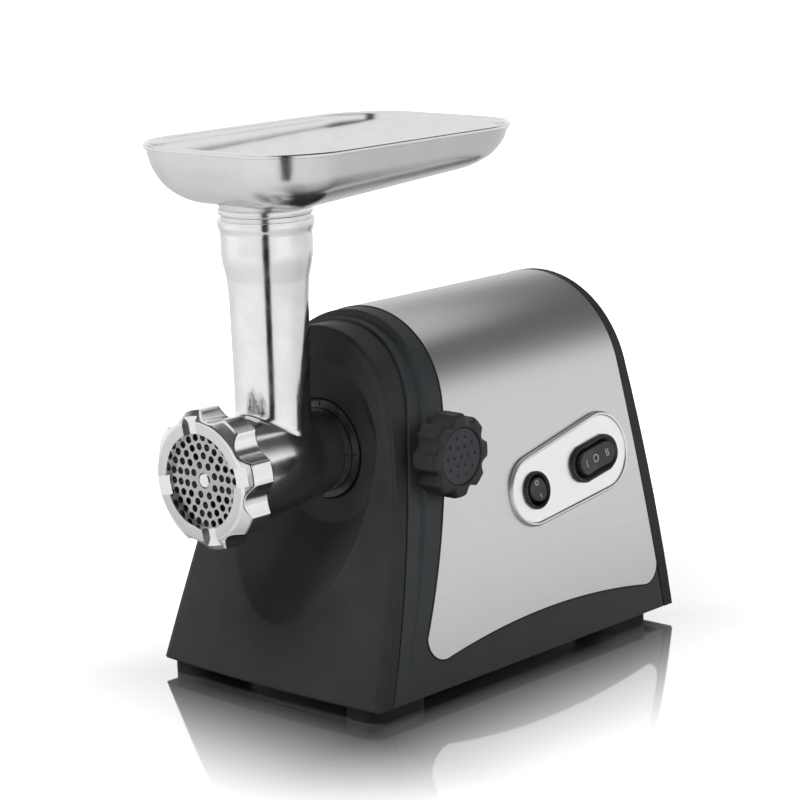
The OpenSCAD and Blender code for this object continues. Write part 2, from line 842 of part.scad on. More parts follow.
// pan levels: inset from the rim edge and drop below the rim for the curved wall
tw = 42;
function pan_ring(out, in, k, drop, t) =
    [for (p = round_rect(tray_hx - in, tray_hy - in, k, 10))
        let (y = p[1] + tray_cy, d = tray_depth - tray_rise * max(-30, y))
        [p[0], y, rim_z - drop - out * d * t]];
pan_n = 10;
function pan_t(j) = sin(90 * j / pan_n);
function pan_in(j) = 1 - cos(90 * j / pan_n);
module pan_out() {
    loft(concat(
        [for (j = [pan_n:-1:0])
            pan_ring(1, 1.8 + tw * pan_in(j), tray_corner - 1.5 - 20 * pan_in(j), tray_t, pan_t(j))],
        [pan_ring(0, 0, tray_corner, tray_t, 0), pan_ring(0, 0, tray_corner, 0, 0)]));
}
module pan_inside() {
    loft(concat(
        [for (j = [pan_n:-1:0])
            pan_ring(1, 1.8 + tray_t + tw * pan_in(j), tray_corner - 2.5 - 20 * pan_in(j), 0, pan_t(j))],
        [pan_ring(0, 1.8 + tray_t, tray_corner - 2.5, -2, 0)]));
}
module hopper_tray() {
    color("#cfd0d0")
        from_throat()
            difference() {
                union() {
                    pan_out();
                    translate([0, 0, throat_top])
                        cylinder(r = neck_r, h = rim_z - tray_depth - throat_top);
                    translate([0, 0, throat_top + 2])
                        cylinder(r = neck_r + 1.2, h = 4);
                    translate([0, 0, throat_top - 21])
                        cylinder(r = neck_plug_r, h = 22);
                }
                pan_inside();
                translate([0, 0, 250])
                    cylinder(r = pusher_r, h = 60);
            }
}

/* drive */
th_os = dir_a(out_p, sec_p);
th_sf = dir_a(sec_p, fir_p);
th_fm = dir_a(fir_p, mot_p);
function mesh(na, a, nb, th) = th + 180 - (0.5 - (th - a) * na / 360) * 360 / nb;
tu_s = mesh(n_out, 0, n_sp, th_os);
tu_f = mesh(n_sw, tu_s, n_fp, th_sf);
tu_m = mesh(n_fw, tu_f, n_mp, th_fm);
module wheel(p, m, n, turn, y0, y1) {
    translate([p[0], 0, p[1]])
        along_y(y0, y1 - y0)
            rotate([0, 0, turn])
                polygon(gear_pts(m, n, 0.3));
}
module output_shaft() {
    color("#8f9396")
        from_throat()
            difference() {
                spun_y([[0, 79], [12, 79], [13.5, 80.5], [13.5, 97], [10, 97], [10, 136],
                    [8, 136], [8, 141.5], [0, 141.5]]);
                rod_hex(14.2, 70, 95);
            }
}
module output_gear() {
    color("#6f7275")
        from_throat()
            difference() {
                wheel(out_p, m_out, n_out, 0, 97.5, 111);
                rod_y(out_p[0], out_p[1], 10, 90, 120);
                for (s = [[90, 100.5], [108, 120]])
                    spun_y([[15, s[0]], [28, s[0]], [28, s[1]], [15, s[1]]]);
            }
}
module second_gear() {
    color("#e8e4d6")
        from_throat()
            difference() {
                union() {
                    wheel(sec_p, m_out, n_sp, tu_s, 97.5, 113);
                    wheel(sec_p, m_mid, n_sw, tu_s, 113, 124);
                }
                rod_y(sec_p[0], sec_p[1], 4.05, 90, 130);
            }
}
module first_gear() {
    color("#e8e4d6")
        from_throat()
            difference() {
                union() {
                    wheel(fir_p, m_mid, n_fp, tu_f, 113.3, 127);
                    wheel(fir_p, m_in, n_fw, tu_f, 127, 136);
                }
                rod_y(fir_p[0], fir_p[1], 3.05, 90, 140);
            }
}
module gear_spindles() {
    color("#a4a7a9")
        from_throat() {
            rod_y(sec_p[0], sec_p[1], 4, 91, 144.5);
            rod_y(fir_p[0], fir_p[1], 3, 91, 144.5);
        }
}
case_screw = [[34, 166], [-34, 166], [-63, 104], [37, 66]];
module case_sketch(g) {
    translate(out_p)
        circle(r = 42 - g);
    translate(sec_p)
        circle(r = 36.5 - g);
    translate(fir_p)
        circle(r = 31.5 - g);
    translate(mot_p)
        circle(r = 13 - g);
    polygon([[-38 + g, 134], [38 - g, 134], [36 - g, 88], [10 - g, 55 + g], [-10 + g, 55 + g],
        [-58 + g, 92]]);
}
module gear_case() {
    color("#55585b")
        from_throat()
            difference() {
                union() {
                    along_y(90, 52)
                        case_sketch(0);
                    for (p = case_screw)
                        rod_y(p[0], p[1], 5, 90, 142);
                    translate([-20, 92, foot_h + 3])
                        cube([40, 46, 50]);
                }
                along_y(93, 60)
                    case_sketch(3.5);
                translate([-16, 88, 0])
                    cube([32, 54, 44]);
                rod_y(out_p[0], out_p[1], 16.5, 80, 100);
                rod_y(sec_p[0], sec_p[1], 4, 91, 100);
                rod_y(fir_p[0], fir_p[1], 3, 91, 100);
                for (p = case_screw)
                    rod_y(p[0], p[1], 1.5, 120, 150);
            }
}
module gear_case_cover() {
    color("#4b4e50")
        from_throat()
            difference() {
                union() {
                    along_y(142, 3)
                        case_sketch(0);
                    for (p = case_screw)
                        rod_y(p[0], p[1], 5, 142, 145);
                    rod_y(sec_p[0], sec_p[1], 7, 126, 143);
                    rod_y(fir_p[0], fir_p[1], 6, 137, 143);
                }
                rod_y(out_p[0], out_p[1], 11.05, 130, 150);
                rod_y(mot_p[0], mot_p[1], 8.3, 130, 150);
                rod_y(sec_p[0], sec_p[1], 4, 120, 144.5);
                rod_y(fir_p[0], fir_p[1], 3, 120, 144.5);
                for (p = case_screw)
                    rod_y(p[0], p[1], 1.7, 130, 150);
            }
}
module output_bushes() {
    color("#c9a45c")
        from_throat() {
            spun_y([[13.55, 86.5], [16.4, 86.5], [16.4, 96.5], [13.55, 96.5]]);
            spun_y([[8.05, 137], [11, 137], [11, 144.8], [8.05, 144.8]]);
        }
}
module gear_case_screws() {
    color("#b9bab8")
        from_throat()
            for (p = case_screw) {
                rod_y(p[0], p[1], 3.2, 145, 147);
                rod_y(p[0], p[1], 1.5, 124, 146);
            }
}
module motor_shaft() {
    color("#9b9ea1")
        from_throat()
            rod_y(mot_p[0], mot_p[1], 3.5, 126.5, 246);
}
module motor_pinion() {
    color("#7b7e80")
        from_throat()
            difference() {
                wheel(mot_p, m_in, n_mp, tu_m, 127, 136.5);
                rod_y(mot_p[0], mot_p[1], 3.5, 120, 140);
            }
}
// the motor's stack of laminations runs from st_a to st_b; coils, windings and brackets follow it
st_a = 165;
st_len = 40;
st_b = st_a + st_len;
module rotor_core() {
    color("#7d7f82")
        from_throat()
            translate([mot_p[0], 0, mot_p[1]])
                difference() {
                    rod_y(0, 0, 20.8, st_a + 1, st_b - 1);
                    rod_y(0, 0, 3.5, 100, 300);
                    for (i = [0:11])
                        rotate([0, 30 * i, 0])
                            translate([-1.2, st_a, 12])
                                cube([2.4, st_len + 20, 12]);
                }
}
module rotor_windings() {
    color("#a5562a")
        from_throat()
            translate([mot_p[0], 0, mot_p[1]])
                for (e = [[st_a - 7, st_a + 1], [st_b - 1, st_b + 7]])
                    difference() {
                        rotate([-90, 0, 0])
                            rotate_extrude()
                                polygon([[0, e[0]], [15, e[0]], [18, e[0] + 2], [18, e[1] - 2],
                                    [15, e[1]], [0, e[1]]]);
                        rod_y(0, 0, 3.5, 100, 300);
                    }
}
module commutator() {
    color("#b8733c")
        from_throat()
            translate([mot_p[0], 0, mot_p[1]])
                difference() {
                    rod_y(0, 0, 10.8, st_b + 8, st_b + 22.5);
                    rod_y(0, 0, 3.5, 100, 300);
                    for (i = [0:11])
                        rotate([0, 30 * i, 0])
                            translate([-0.3, 215, 9.6])
                                cube([0.6, 20, 3]);
                }
}
module cooling_fan() {
    color("#3c3f42")
        from_throat()
            translate([mot_p[0], 0, mot_p[1]])
                difference() {
                    union() {
                        rod_y(0, 0, 8, 236, 244);
                        rod_y(0, 0, 32, 236, 237.6);
                        for (i = [0:10])
                            rotate([0, 360 * i / 11, 0])
                                translate([-0.9, 237, 7])
                                    cube([1.8, 6, 24.4]);
                    }
                    rod_y(0, 0, 3.5, 100, 300);
                }
}
bolt_p = [[26, 26], [-26, 26], [-26, -26], [26, -26]];
module stator_core() {
    color("#6a6d70")
        from_throat()
            translate([mot_p[0], 0, mot_p[1]])
                difference() {
                    along_y(st_a, st_b - st_a)
                        intersection() {
                            circle(r = 42);
                            square([66, 72], center = true);
                        }
                    along_y(st_a - 5, st_len + 20)
                        union() {
                            circle(r = 21.4);
                            for (s = [-1, 1])
                                translate([s * 17, 0])
                                    square([20, 26], center = true);
                        }
                    for (p = bolt_p)
                        rod_y(p[0], p[1], 2.2, st_a - 15, st_b + 25);
                }
}
module stator_coils() {
    color("#b0602f")
        from_throat()
            translate([mot_p[0], 0, mot_p[1]])
                for (s = [-1, 1])
                    difference() {
                        translate([s * 24 - 2.8, st_a - 8, -12.6])
                            cube([5.6, st_len + 16, 25.2]);
                        translate([s * 24 - 4, st_a - 2, -6])
                            cube([8, st_len + 4, 12]);
                    }
}
module motor_front_bracket() {
    color("#8d9092")
        from_throat()
            translate([mot_p[0], 0, mot_p[1]])
                difference() {
                    union() {
                        along_y(145, 4)
                            polygon(round_rect(31, 31, 8, 6));
                        for (p = bolt_p)
                            rod_y(p[0], p[1], 4, 148, st_a);
                    }
                    rod_y(0, 0, 8.05, 140, 160);
                    for (p = bolt_p)
                        rod_y(p[0], p[1], 2.05, 140, st_a + 5);
                    for (p = case_screw)
                        rod_y(p[0] - mot_p[0], p[1] - mot_p[1], 3.5, 140, 150);
                }
}
module motor_rear_bracket() {
    color("#8d9092")
        from_throat()
            translate([mot_p[0], 0, mot_p[1]])
                difference() {
                    union() {
                        along_y(229, 4)
                            polygon(round_rect(31, 31, 8, 6));
                        for (p = bolt_p)
                            rod_y(p[0], p[1], 4, st_b, 230);
                    }
                    rod_y(0, 0, 8.05, 220, 240);
                    for (p = bolt_p)
                        rod_y(p[0], p[1], 2.05, st_b - 5, 240);
                }
}
module motor_bearings() {
    color("#b5b7b9")
        from_throat()
            translate([mot_p[0], 0, mot_p[1]])
                for (e = [[145, 149.5], [229, 233.5]])
                    difference() {
                        rod_y(0, 0, 8, e[0], e[1]);
                        rod_y(0, 0, 3.56, 100, 300);
                    }
}
module brush_holders() {
    color("#2d2e30")
        from_throat()
            translate([mot_p[0], 0, mot_p[1]])
                for (s = [-1, 1])
                    difference() {
                        translate([s * 21.5 - 9, 214, -5])
                            cube([18, 15, 10]);
                        translate([s * 21.5 - 12, 216, -3])
                            cube([24, 8, 6]);
                    }
}
module carbon_brushes() {
    color("#46484a")
        from_throat()
            translate([mot_p[0], 0, mot_p[1]])
                for (s = [-1, 1])
                    translate([s * 17.2 - 6, 216, -3])
                        cube([12, 8, 6]);
}
module motor_cradle() {
    color("#3a3c3e")
        from_throat()
            difference() {
                translate([-26, 160, foot_h + 3])
                    cube([52, 50, mot_p[1] - 36 - foot_h - 3]);
                translate([-21, 155, foot_h + 2])
                    cube([42, 60, 9]);
            }
}
module overload_breaker() {
    color("#7a2f2a")
        from_throat()
            translate([48, 176, foot_h + 3])
                union() {
                    cube([14, 26, 16]);
                    for (s = [4, 18])
                        translate([6.6, s, 15])
                            cube([0.8, 5, 8]);
                }
}
module motor_bolts() {
    color("#b9bab8")
        from_throat()
            translate([mot_p[0], 0, mot_p[1]])
                for (p = bolt_p) {
                    rod_y(p[0], p[1], 2, 146, 233);
                    rod_y(p[0], p[1], 3.6, 233, 235.4);
                }
}

front_cover();
casing();
steel_wrap();
rear_cover();
base_plate();
feet();
control_plate();
power_switch_frame();
power_rocker();
direction_switch_frame();
direction_rocker();
port_ring();
head_socket();
clamp_knob();
knob_cap();
clamp_screw();
clamp_washer();
grinder_barrel();
auger_bush();
auger();
cutting_blade();
cutting_plate();
ring_nut();
hopper_tray();
output_shaft();
output_gear();
second_gear();
first_gear();
gear_spindles();
gear_case();
gear_case_cover();
output_bushes();
motor_shaft();
motor_pinion();
rotor_core();
rotor_windings();
commutator();
cooling_fan();
stator_core();
stator_coils();
motor_front_bracket();
motor_rear_bracket();
motor_bearings();
brush_holders();
carbon_brushes();
motor_cradle();
overload_breaker();
cord_gland();
base_screws();
rear_cover_screws();
gear_case_screws();
motor_bolts();
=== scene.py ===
# %% [markdown]
# # Electric meat grinder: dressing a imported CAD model
# The CAD model is already exact in its sizes: casing, cast head, pan, gears and motor. What it lacks
# is the look: softened edges, smooth sheet metal, brushed and polished finishes. This lesson loads
# the CAD pieces as a fixed frame, rebuilds the visible ones as smooth surfaces worked out with numpy
# from the same sizes, and then gives every piece the finish of its real material. Lengths are written
# in millimetres and turned into metres in one place, inside the function that makes a mesh.

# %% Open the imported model
import json
from functools import partial

import bpy
import bmesh
import numpy as np
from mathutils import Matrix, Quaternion, Vector

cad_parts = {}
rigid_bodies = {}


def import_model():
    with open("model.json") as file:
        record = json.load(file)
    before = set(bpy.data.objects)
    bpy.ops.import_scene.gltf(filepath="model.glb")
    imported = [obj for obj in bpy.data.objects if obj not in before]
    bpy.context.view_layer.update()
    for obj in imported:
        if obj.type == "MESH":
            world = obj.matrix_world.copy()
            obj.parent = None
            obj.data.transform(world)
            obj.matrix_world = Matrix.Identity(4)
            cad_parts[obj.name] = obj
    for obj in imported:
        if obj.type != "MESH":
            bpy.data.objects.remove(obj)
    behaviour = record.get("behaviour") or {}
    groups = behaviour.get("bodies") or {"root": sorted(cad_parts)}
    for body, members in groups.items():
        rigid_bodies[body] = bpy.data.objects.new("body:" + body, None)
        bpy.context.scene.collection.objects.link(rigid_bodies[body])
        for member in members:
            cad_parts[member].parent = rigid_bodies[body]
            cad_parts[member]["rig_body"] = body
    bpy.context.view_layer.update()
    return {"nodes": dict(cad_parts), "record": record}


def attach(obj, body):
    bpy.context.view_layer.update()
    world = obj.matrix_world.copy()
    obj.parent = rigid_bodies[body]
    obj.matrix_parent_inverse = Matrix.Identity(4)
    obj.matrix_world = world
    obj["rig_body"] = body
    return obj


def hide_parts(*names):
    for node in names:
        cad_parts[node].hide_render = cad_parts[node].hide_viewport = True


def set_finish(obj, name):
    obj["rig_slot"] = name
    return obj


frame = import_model()
print("CAD nodes:", len(frame["nodes"]))

# %% [markdown]
# ## The driving sizes
# Y is counted from the axis of the feed throat while a piece is worked out, which keeps the numbers
# readable. Every mesh is shifted by `THROAT_Y` when it is made, so that it lands on the CAD model.

# %% Sizes that several pieces share
THROAT_Y = -101.0           # where the throat's axis stands in the CAD model
AXIS_Z = 138.0              # height of the auger's axis
FOOT_H = 8.0                # the casing stands this high on its feet
FOOT_HALF = 88.5            # half the casing's width at its foot
ARCH_R, ARCH_ZC = 67.6, 148.6
FLANK_R = 722.0             # radius of the long bulging flanks
FACE_TURN = 976.0           # the front face bulges about an upright line this far behind the throat
TOP_Z = ARCH_ZC + ARCH_R
KNOB_Y, KNOB_Z = 57.4, 142.4
KNOB_SEAT = 74.2            # the clamp's boss ends here, out from the middle of the casing
TAU = 2 * np.pi
print(f"casing: {2 * FOOT_HALF:.0f} mm wide at its foot, {TOP_Z:.1f} mm high at its crown")

# %% [markdown]
# ## From numbers to a mesh
# A surface is a grid of points. `skin` joins the grid's neighbours with four-sided faces, and can close
# it around either way, so that a turned ring or a rolled rim is one closed skin. Edges sharper than a
# set angle stay crisp and all others are shaded smooth, as on a moulded or pressed part.

# %% Grid to mesh
SHARP = 35.0


def grid_faces(nu, nv, wrap_u, wrap_v):
    """Corner numbers of the four-sided faces between neighbouring points of an nu by nv grid."""
    u = np.arange(nu if wrap_u else nu - 1)
    v = np.arange(nv if wrap_v else nv - 1)
    a, b = np.meshgrid(u, v, indexing="ij")
    a1, b1 = (a + 1) % nu, (b + 1) % nv
    return np.stack([a * nv + b, a1 * nv + b, a1 * nv + b1, a * nv + b1], -1).reshape(-1, 4)


def mesh_piece(name, points, faces, body, replaced=(), slot=None, sharp=SHARP):
    """Points in mm, counted from the throat's axis, and faces become an object that rides on a body.

    A closed skin that came out inside out has a negative volume, and is turned."""
    mesh = bpy.data.meshes.new(name)
    place = np.asarray(points, float) + np.array([0.0, THROAT_Y, 0.0])
    mesh.from_pydata((place / 1000.0).tolist(), [], faces)
    mesh.validate()
    work = bmesh.new()
    work.from_mesh(mesh)
    inside_out = work.calc_volume(signed=True) < 0
    work.free()
    if inside_out:
        mesh.flip_normals()
    mesh.shade_smooth()
    mesh.set_sharp_from_angle(angle=np.radians(sharp))
    obj = bpy.data.objects.new(name, mesh)
    bpy.context.scene.collection.objects.link(obj)
    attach(obj, body)
    if replaced:
        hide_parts(*replaced)
    if slot:
        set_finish(obj, slot)
    print(f"{name}: {len(mesh.vertices)} points, {len(mesh.polygons)} faces")
    return obj


def skin(name, grid, body, wrap_u=True, wrap_v=True, caps=False, **more):
    """One grid as a piece; caps closes the two open ends of a grid that runs open along u."""
    nu, nv = grid.shape[:2]
    faces = grid_faces(nu, nv, wrap_u, wrap_v).tolist()
    if caps:
        faces.append(list(range(nv)))
        faces.append(list(range(nu * nv - 1, (nu - 1) * nv - 1, -1)))
    return mesh_piece(name, grid.reshape(-1, 3), faces, body, **more)


# %% [markdown]
# ## Rounded corners
# Hardly any edge on a real part is sharp. `soften` rounds the corners of many cross-sections at once:
# each corner becomes a short parabola between two points that lie back from it along its two sides,
# which is what a mould maker's small radius looks like.

# %% Rounding
def soften(corners, reach, steps=4, closed=True, most=0.45):
    """Rounded copy of polylines shaped (n, k, 2 or 3).

    Around corner c, with neighbours a and b, the curve is (1-t)^2 P + 2t(1-t) c + t^2 Q, where P and Q
    lie on the sides at the distance reach, but never past the share most of a side."""
    c = np.asarray(corners, float)
    reach = np.broadcast_to(np.asarray(reach, float), (c.shape[1],))[None, :, None]
    t = np.linspace(0, 1, steps)[None, None, :, None]
    back, on = np.roll(c, 1, 1) - c, np.roll(c, -1, 1) - c
    back_len = np.maximum(np.linalg.norm(back, axis=2, keepdims=True), 1e-9)
    on_len = np.maximum(np.linalg.norm(on, axis=2, keepdims=True), 1e-9)
    p = c + back / back_len * np.minimum(reach, most * back_len)
    q = c + on / on_len * np.minimum(reach, most * on_len)
    curve = (1 - t) ** 2 * p[:, :, None] + 2 * t * (1 - t) * c[:, :, None] + t ** 2 * q[:, :, None]
    if closed:
        return curve.reshape(c.shape[0], -1, c.shape[2])
    middle = curve[:, 1:-1].reshape(c.shape[0], -1, c.shape[2])
    return np.concatenate([c[:, :1], middle, c[:, -1:]], 1)


square = np.array([[[0.0, 0.0], [1.0, 0.0], [1.0, 1.0], [0.0, 1.0]]])
print("a square's 4 corners, rounded:", soften(square, 0.2).shape[1], "points")

# %% [markdown]
# ## Turned pieces and plain outlines
# A lathe turns a profile about an axis, and so does `turned`. Circles and rounded rectangles are the
# outlines that most moulded holes and rims start from.

# %% Lathe and outlines
def turned(name, profile, axis, centre, body, steps=160, reach=0.0, **more):
    """A profile of (radius, distance along the axis) turned about a line along X, Y or Z."""
    loop = soften(np.array(profile, float)[None], reach)[0]
    a = np.linspace(0, TAU, steps, endpoint=False)[:, None]
    r, t = loop[None, :, 0], loop[None, :, 1] + 0 * a
    c, s = r * np.cos(a), r * np.sin(a)
    order = {"X": (t, c, s), "Y": (s, t, c), "Z": (c, s, t)}[axis]
    return skin(name, np.stack(order, -1) + np.array(centre, float), body, **more)


def rounded_box_outline(hx, hy, r, n):
    """Points round a rectangle with an arc of n points at each corner, and the outward normals there."""
    a = np.linspace(0, np.pi / 2, n)[None, :] + np.arange(4)[:, None] * np.pi / 2
    sx, sy = np.array([1, -1, -1, 1])[:, None], np.array([1, 1, -1, -1])[:, None]
    normals = np.stack([np.cos(a), np.sin(a)], -1)
    points = np.stack([sx * (hx - r), sy * (hy - r)], -1) + r * normals
    return points.reshape(-1, 2), normals.reshape(-1, 2)


def circle(at, r, n=96):
    """Points round a circle."""
    a = np.linspace(0, TAU, n, endpoint=False)
    return np.stack([at[0] + r * np.cos(a), at[1] + r * np.sin(a)], 1)


def stadium(at, hu, hv, r, n=12):
    """Rounded rectangle with half sizes hu and hv about a place."""
    return rounded_box_outline(hu, hv, r, n)[0] + np.array(at)


print("a circle:", len(circle((0, 0), 1.0)), "points; a stadium:", len(stadium((0, 0), 3, 1, 1)), "points")

# %% [markdown]
# ## The shape of the casing
# Seen from the front the casing is an arch made of three arcs: a round crown and two long bulging
# flanks that meet it without a kink. Seen from the side, each edge of the casing is a gentle curve,
# written as y over height.

# %% The arch
def flank(top=0.0, foot=0.0):
    """Right flank arc of an arch that is moved in by top at the crown and by foot at the floor.

    Its centre is where two circles cross: one of FLANK_R less the crown's radius about the crown's
    centre, and one of FLANK_R about the foot. Returns it and the arc's angles at crown and foot."""
    b = np.array([FOOT_HALF - foot, FOOT_H - ARCH_ZC])
    a, d = FLANK_R - (ARCH_R - top), np.hypot(*b)
    t = (a * a - FLANK_R ** 2 + d * d) / (2 * d)
    h = np.sqrt(a * a - t * t)
    e = b / d
    c = np.array([t * e[0] + h * e[1], ARCH_ZC + t * e[1] - h * e[0]])
    return c, np.arctan2(ARCH_ZC - c[1], -c[0]), np.arcsin((FOOT_H - c[1]) / FLANK_R)


def arch(t, top=0.0, foot=0.0):
    """Point (x, z) and outward normal at t, from -1 at the left foot over 0 at the crown to 1."""
    t = np.asarray(t, float)
    c, join, low = flank(top, foot)
    r = ARCH_R - top
    crown_len, flank_len = r * (np.pi / 2 - join), FLANK_R * (join - low)
    s = np.abs(t) * (crown_len + flank_len)
    on_crown = s < crown_len
    g = np.where(on_crown, np.pi / 2 - s / r, join - (s - crown_len) / FLANK_R)
    x = np.where(on_crown, r * np.cos(g), c[0] + FLANK_R * np.cos(g))
    z = np.where(on_crown, ARCH_ZC + r * np.sin(g), c[1] + FLANK_R * np.sin(g))
    sign = np.where(t < 0, -1.0, 1.0)
    return np.stack([sign * x, z], -1), np.stack([sign * np.cos(g), np.sin(g)], -1)


def arch_place(z):
    """The parameter t of the right flank at height z, the inverse of arch()."""
    c, join, low = flank()
    crown_len, flank_len = ARCH_R * (np.pi / 2 - join), FLANK_R * (join - low)
    return (crown_len + FLANK_R * (join - np.arcsin((z - c[1]) / FLANK_R))) / (crown_len + flank_len)


def half_width(z):
    """Half width of the arch at height z."""
    c, join, _ = flank()
    side = c[0] + np.sqrt(np.maximum(FLANK_R ** 2 - (z - c[1]) ** 2, 0))
    crown = np.sqrt(np.maximum(ARCH_R ** 2 - (z - ARCH_ZC) ** 2, 0))
    return np.where(z < ARCH_ZC + ARCH_R * np.sin(join), side, crown)


print("half width at 50, 100, 150 and 200 mm:", np.round(half_width(np.array([50, 100, 150, 200])), 1))

# %% [markdown]
# The front cover ends at `part_y`, the narrow strip behind it at `band_y`, and the steel sheet lies
# between `wrap_y0` and `wrap_y1`. The face itself bulges: at each height it is part of a circle about
# an upright line far behind, drawn through the edge curve.

# %% Edge curves and the face
def edge_curve(c0, c1, c2):
    """An edge y = c0 + c1 v + c2 v^2, with v the height over the floor line in 100 mm."""
    return lambda z: c0 + c1 * (z - FOOT_H) / 100 + c2 * ((z - FOOT_H) / 100) ** 2


face_y = edge_curve(-14.2, 37.5, -5.2)
part_y = edge_curve(-1.7, 30.7, 0.0)
band_y = edge_curve(7.5, 38.5, -4.2)
wrap_y0 = edge_curve(14.8, 48.2, -7.9)
wrap_y1 = edge_curve(250.4, -19.4, 6.0)


def face_surface(x, z):
    """The face's y: FACE_TURN - sqrt(R^2 - x^2), where R reaches the edge curve at half the width."""
    z = np.clip(z, FOOT_H, TOP_Z - 0.5)
    r2 = (FACE_TURN - face_y(z)) ** 2 + half_width(z) ** 2
    return FACE_TURN - np.sqrt(np.maximum(r2 - x ** 2, 1.0))


print("the face bulges", round(float(face_y(100.0) - face_surface(0.0, 100.0)), 1), "mm at 100 mm")

# %% [markdown]
# ## Cutting
# A few pieces have holes that no single grid can give. The hole is a closed prism, made by the same
# `skin`: it is subtracted with an exact Boolean, the result becomes the piece's own mesh, and it goes.

# %% Boolean cuts that are applied at once
def cut(piece, *prisms):
    """Take closed prisms, each a grid of rings, away from a piece."""
    for prism in prisms:
        cutter = skin("cutter", prism, piece["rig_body"], wrap_u=False, caps=True)
        modifier = piece.modifiers.new("cut", "BOOLEAN")
        modifier.operation, modifier.solver, modifier.object = "DIFFERENCE", "EXACT", cutter
        bpy.context.view_layer.update()
        done = bpy.data.meshes.new_from_object(piece.evaluated_get(bpy.context.evaluated_depsgraph_get()))
        piece.modifiers.clear()
        old, piece.data = piece.data, done
        bpy.data.meshes.remove(old)
        bpy.data.objects.remove(cutter, do_unlink=True)
    piece.data.shade_smooth()
    piece.data.set_sharp_from_angle(angle=np.radians(SHARP))
    print(f"{piece.name}: {len(prisms)} cut out, {len(piece.data.polygons)} faces")


# %% [markdown]
# ## The control plate's own frame
# The plate lies flat on the bulging right flank, tilted so that it follows the casing's lines. u runs
# along it to the rear, v up across it, and w out of the flank. Its outline is two circles, a small one
# round the power switch and a larger one round the direction switch, joined by their common tangents.

# %% The plate's frame and outline
PLATE_Y, PLATE_Z, PLATE_TILT = 135.3, 104.9, np.radians(9.2)
PLATE_R0, PLATE_R1, PLATE_LEN = 21.5, 24.6, 67.5
POWER_AT, TURN_AT = (1.2, -0.4), (57.9, -1.0)


def plate_frame():
    """Origin on the flank and the directions u, v and w: the flank's lean, then the tilt about w."""
    c, _, _ = flank()
    lean = np.arcsin((PLATE_Z - c[1]) / FLANK_R)
    origin = np.array([c[0] + np.sqrt(FLANK_R ** 2 - (PLATE_Z - c[1]) ** 2), PLATE_Y, PLATE_Z])
    along, up = np.array([0.0, 1.0, 0.0]), np.array([-np.sin(lean), 0.0, np.cos(lean)])
    ct, st = np.cos(PLATE_TILT), np.sin(PLATE_TILT)
    return origin, ct * along + st * up, ct * up - st * along, np.array([np.cos(lean), 0, np.sin(lean)])


PLATE_ORIGIN, PLATE_U, PLATE_V, PLATE_W = plate_frame()


def on_plate(uv, w):
    """Points (u, v) at height w over the flank, in the throat's frame."""
    uv = np.asarray(uv, float)
    lift = np.asarray(w, float)[..., None] * PLATE_W
    return PLATE_ORIGIN + uv[..., :1] * PLATE_U + uv[..., 1:] * PLATE_V + lift


def plate_outline(inset, n=48, m=16):
    """The plate's outline moved in by inset: n points on each arc and m along each tangent."""
    r0, r1 = PLATE_R0 - inset, PLATE_R1 - inset
    lean = np.arccos((r0 - r1) / PLATE_LEN)
    far = np.linspace(-lean, lean, n)
    near = np.linspace(lean, TAU - lean, n)
    a = np.stack([PLATE_LEN + r1 * np.cos(far), r1 * np.sin(far)], 1)
    b = np.stack([r0 * np.cos(near), r0 * np.sin(near)], 1)
    w = np.linspace(0, 1, m + 2)[1:-1, None]
    return np.concatenate([a, a[-1] * (1 - w) + b[0] * w, b, b[-1] * (1 - w) + a[0] * w])


print("plate:", np.round(np.ptp(plate_outline(0), axis=0), 1), "mm")

# %% Holes through the flank for the plate and its switches
SEAT_GAP, SEAT_DEPTH = 0.15, 1.4
HOLE_REACH = 9.0


def through_plate(outline, low, high=HOLE_REACH):
    """Prism over an outline (u, v), from w = low to w = high."""
    return np.stack([on_plate(outline, w) for w in (low, high)])


power_hole = through_plate(circle(POWER_AT, 9.7), -HOLE_REACH)
turn_hole = through_plate(stadium(TURN_AT, 20.3, 9.3, 9.2), -HOLE_REACH)
plate_seat = through_plate(plate_outline(-SEAT_GAP), -SEAT_DEPTH)
print("prisms:", power_hole.shape, turn_hole.shape, plate_seat.shape)

# %% [markdown]
# ## Casing: band, skirt and shell
# Each cross-section runs from the tucked front edge over the narrow strip, up the step at the band and
# back to the rear joint, then home along the inner wall. One section is made for each place along the
# arch, and the skin over them all is the casing. The steel sheet later hides all but its band.

# %% Casing
SKIN_SINK = 0.35            # the shell lies this far under the outline, so that the sheet covers it
along_arch = np.linspace(-1, 1, 301)


def arch_line(y_of, top, foot, back=0.0):
    """The arch moved in by top and foot, at the y that an edge curve gives for its height."""
    p = arch(along_arch, top, foot)[0]
    return np.stack([p[:, 0], y_of(p[:, 1]) + back, p[:, 1]], -1)


casing_lines = [
    (arch_line(part_y, 7.0, 2.4, 0.9), 0.0),                # tucked edge behind the front cover
    (arch_line(part_y, 4.2, 0.7, 0.5), 0.7),                # front of the narrow strip
    (arch_line(band_y, 4.2, 0.7, -0.4), 0.2),               # foot of the step
    (arch_line(band_y, SKIN_SINK, SKIN_SINK, 0.1), 0.9),    # head of the step
    (arch_line(wrap_y1, SKIN_SINK, SKIN_SINK), 0.4),        # rear joint
    (arch_line(wrap_y1, 4.6, 4.6), 0.0),                    # inner wall
    (arch_line(part_y, 7.4, 4.6, 6.0), 0.0),
]
sections = soften(np.stack([line for line, _ in casing_lines], 1), [reach for _, reach in casing_lines])
casing = skin("casing_shell", sections, "housing", wrap_u=False, caps=True, replaced=["casing"],
              slot="band_shell")
cut(casing, plate_seat, power_hole, turn_hole)

# %% [markdown]
# The clamp's boss is a short moulded tube that stands out of the flank and carries the knob's washer.

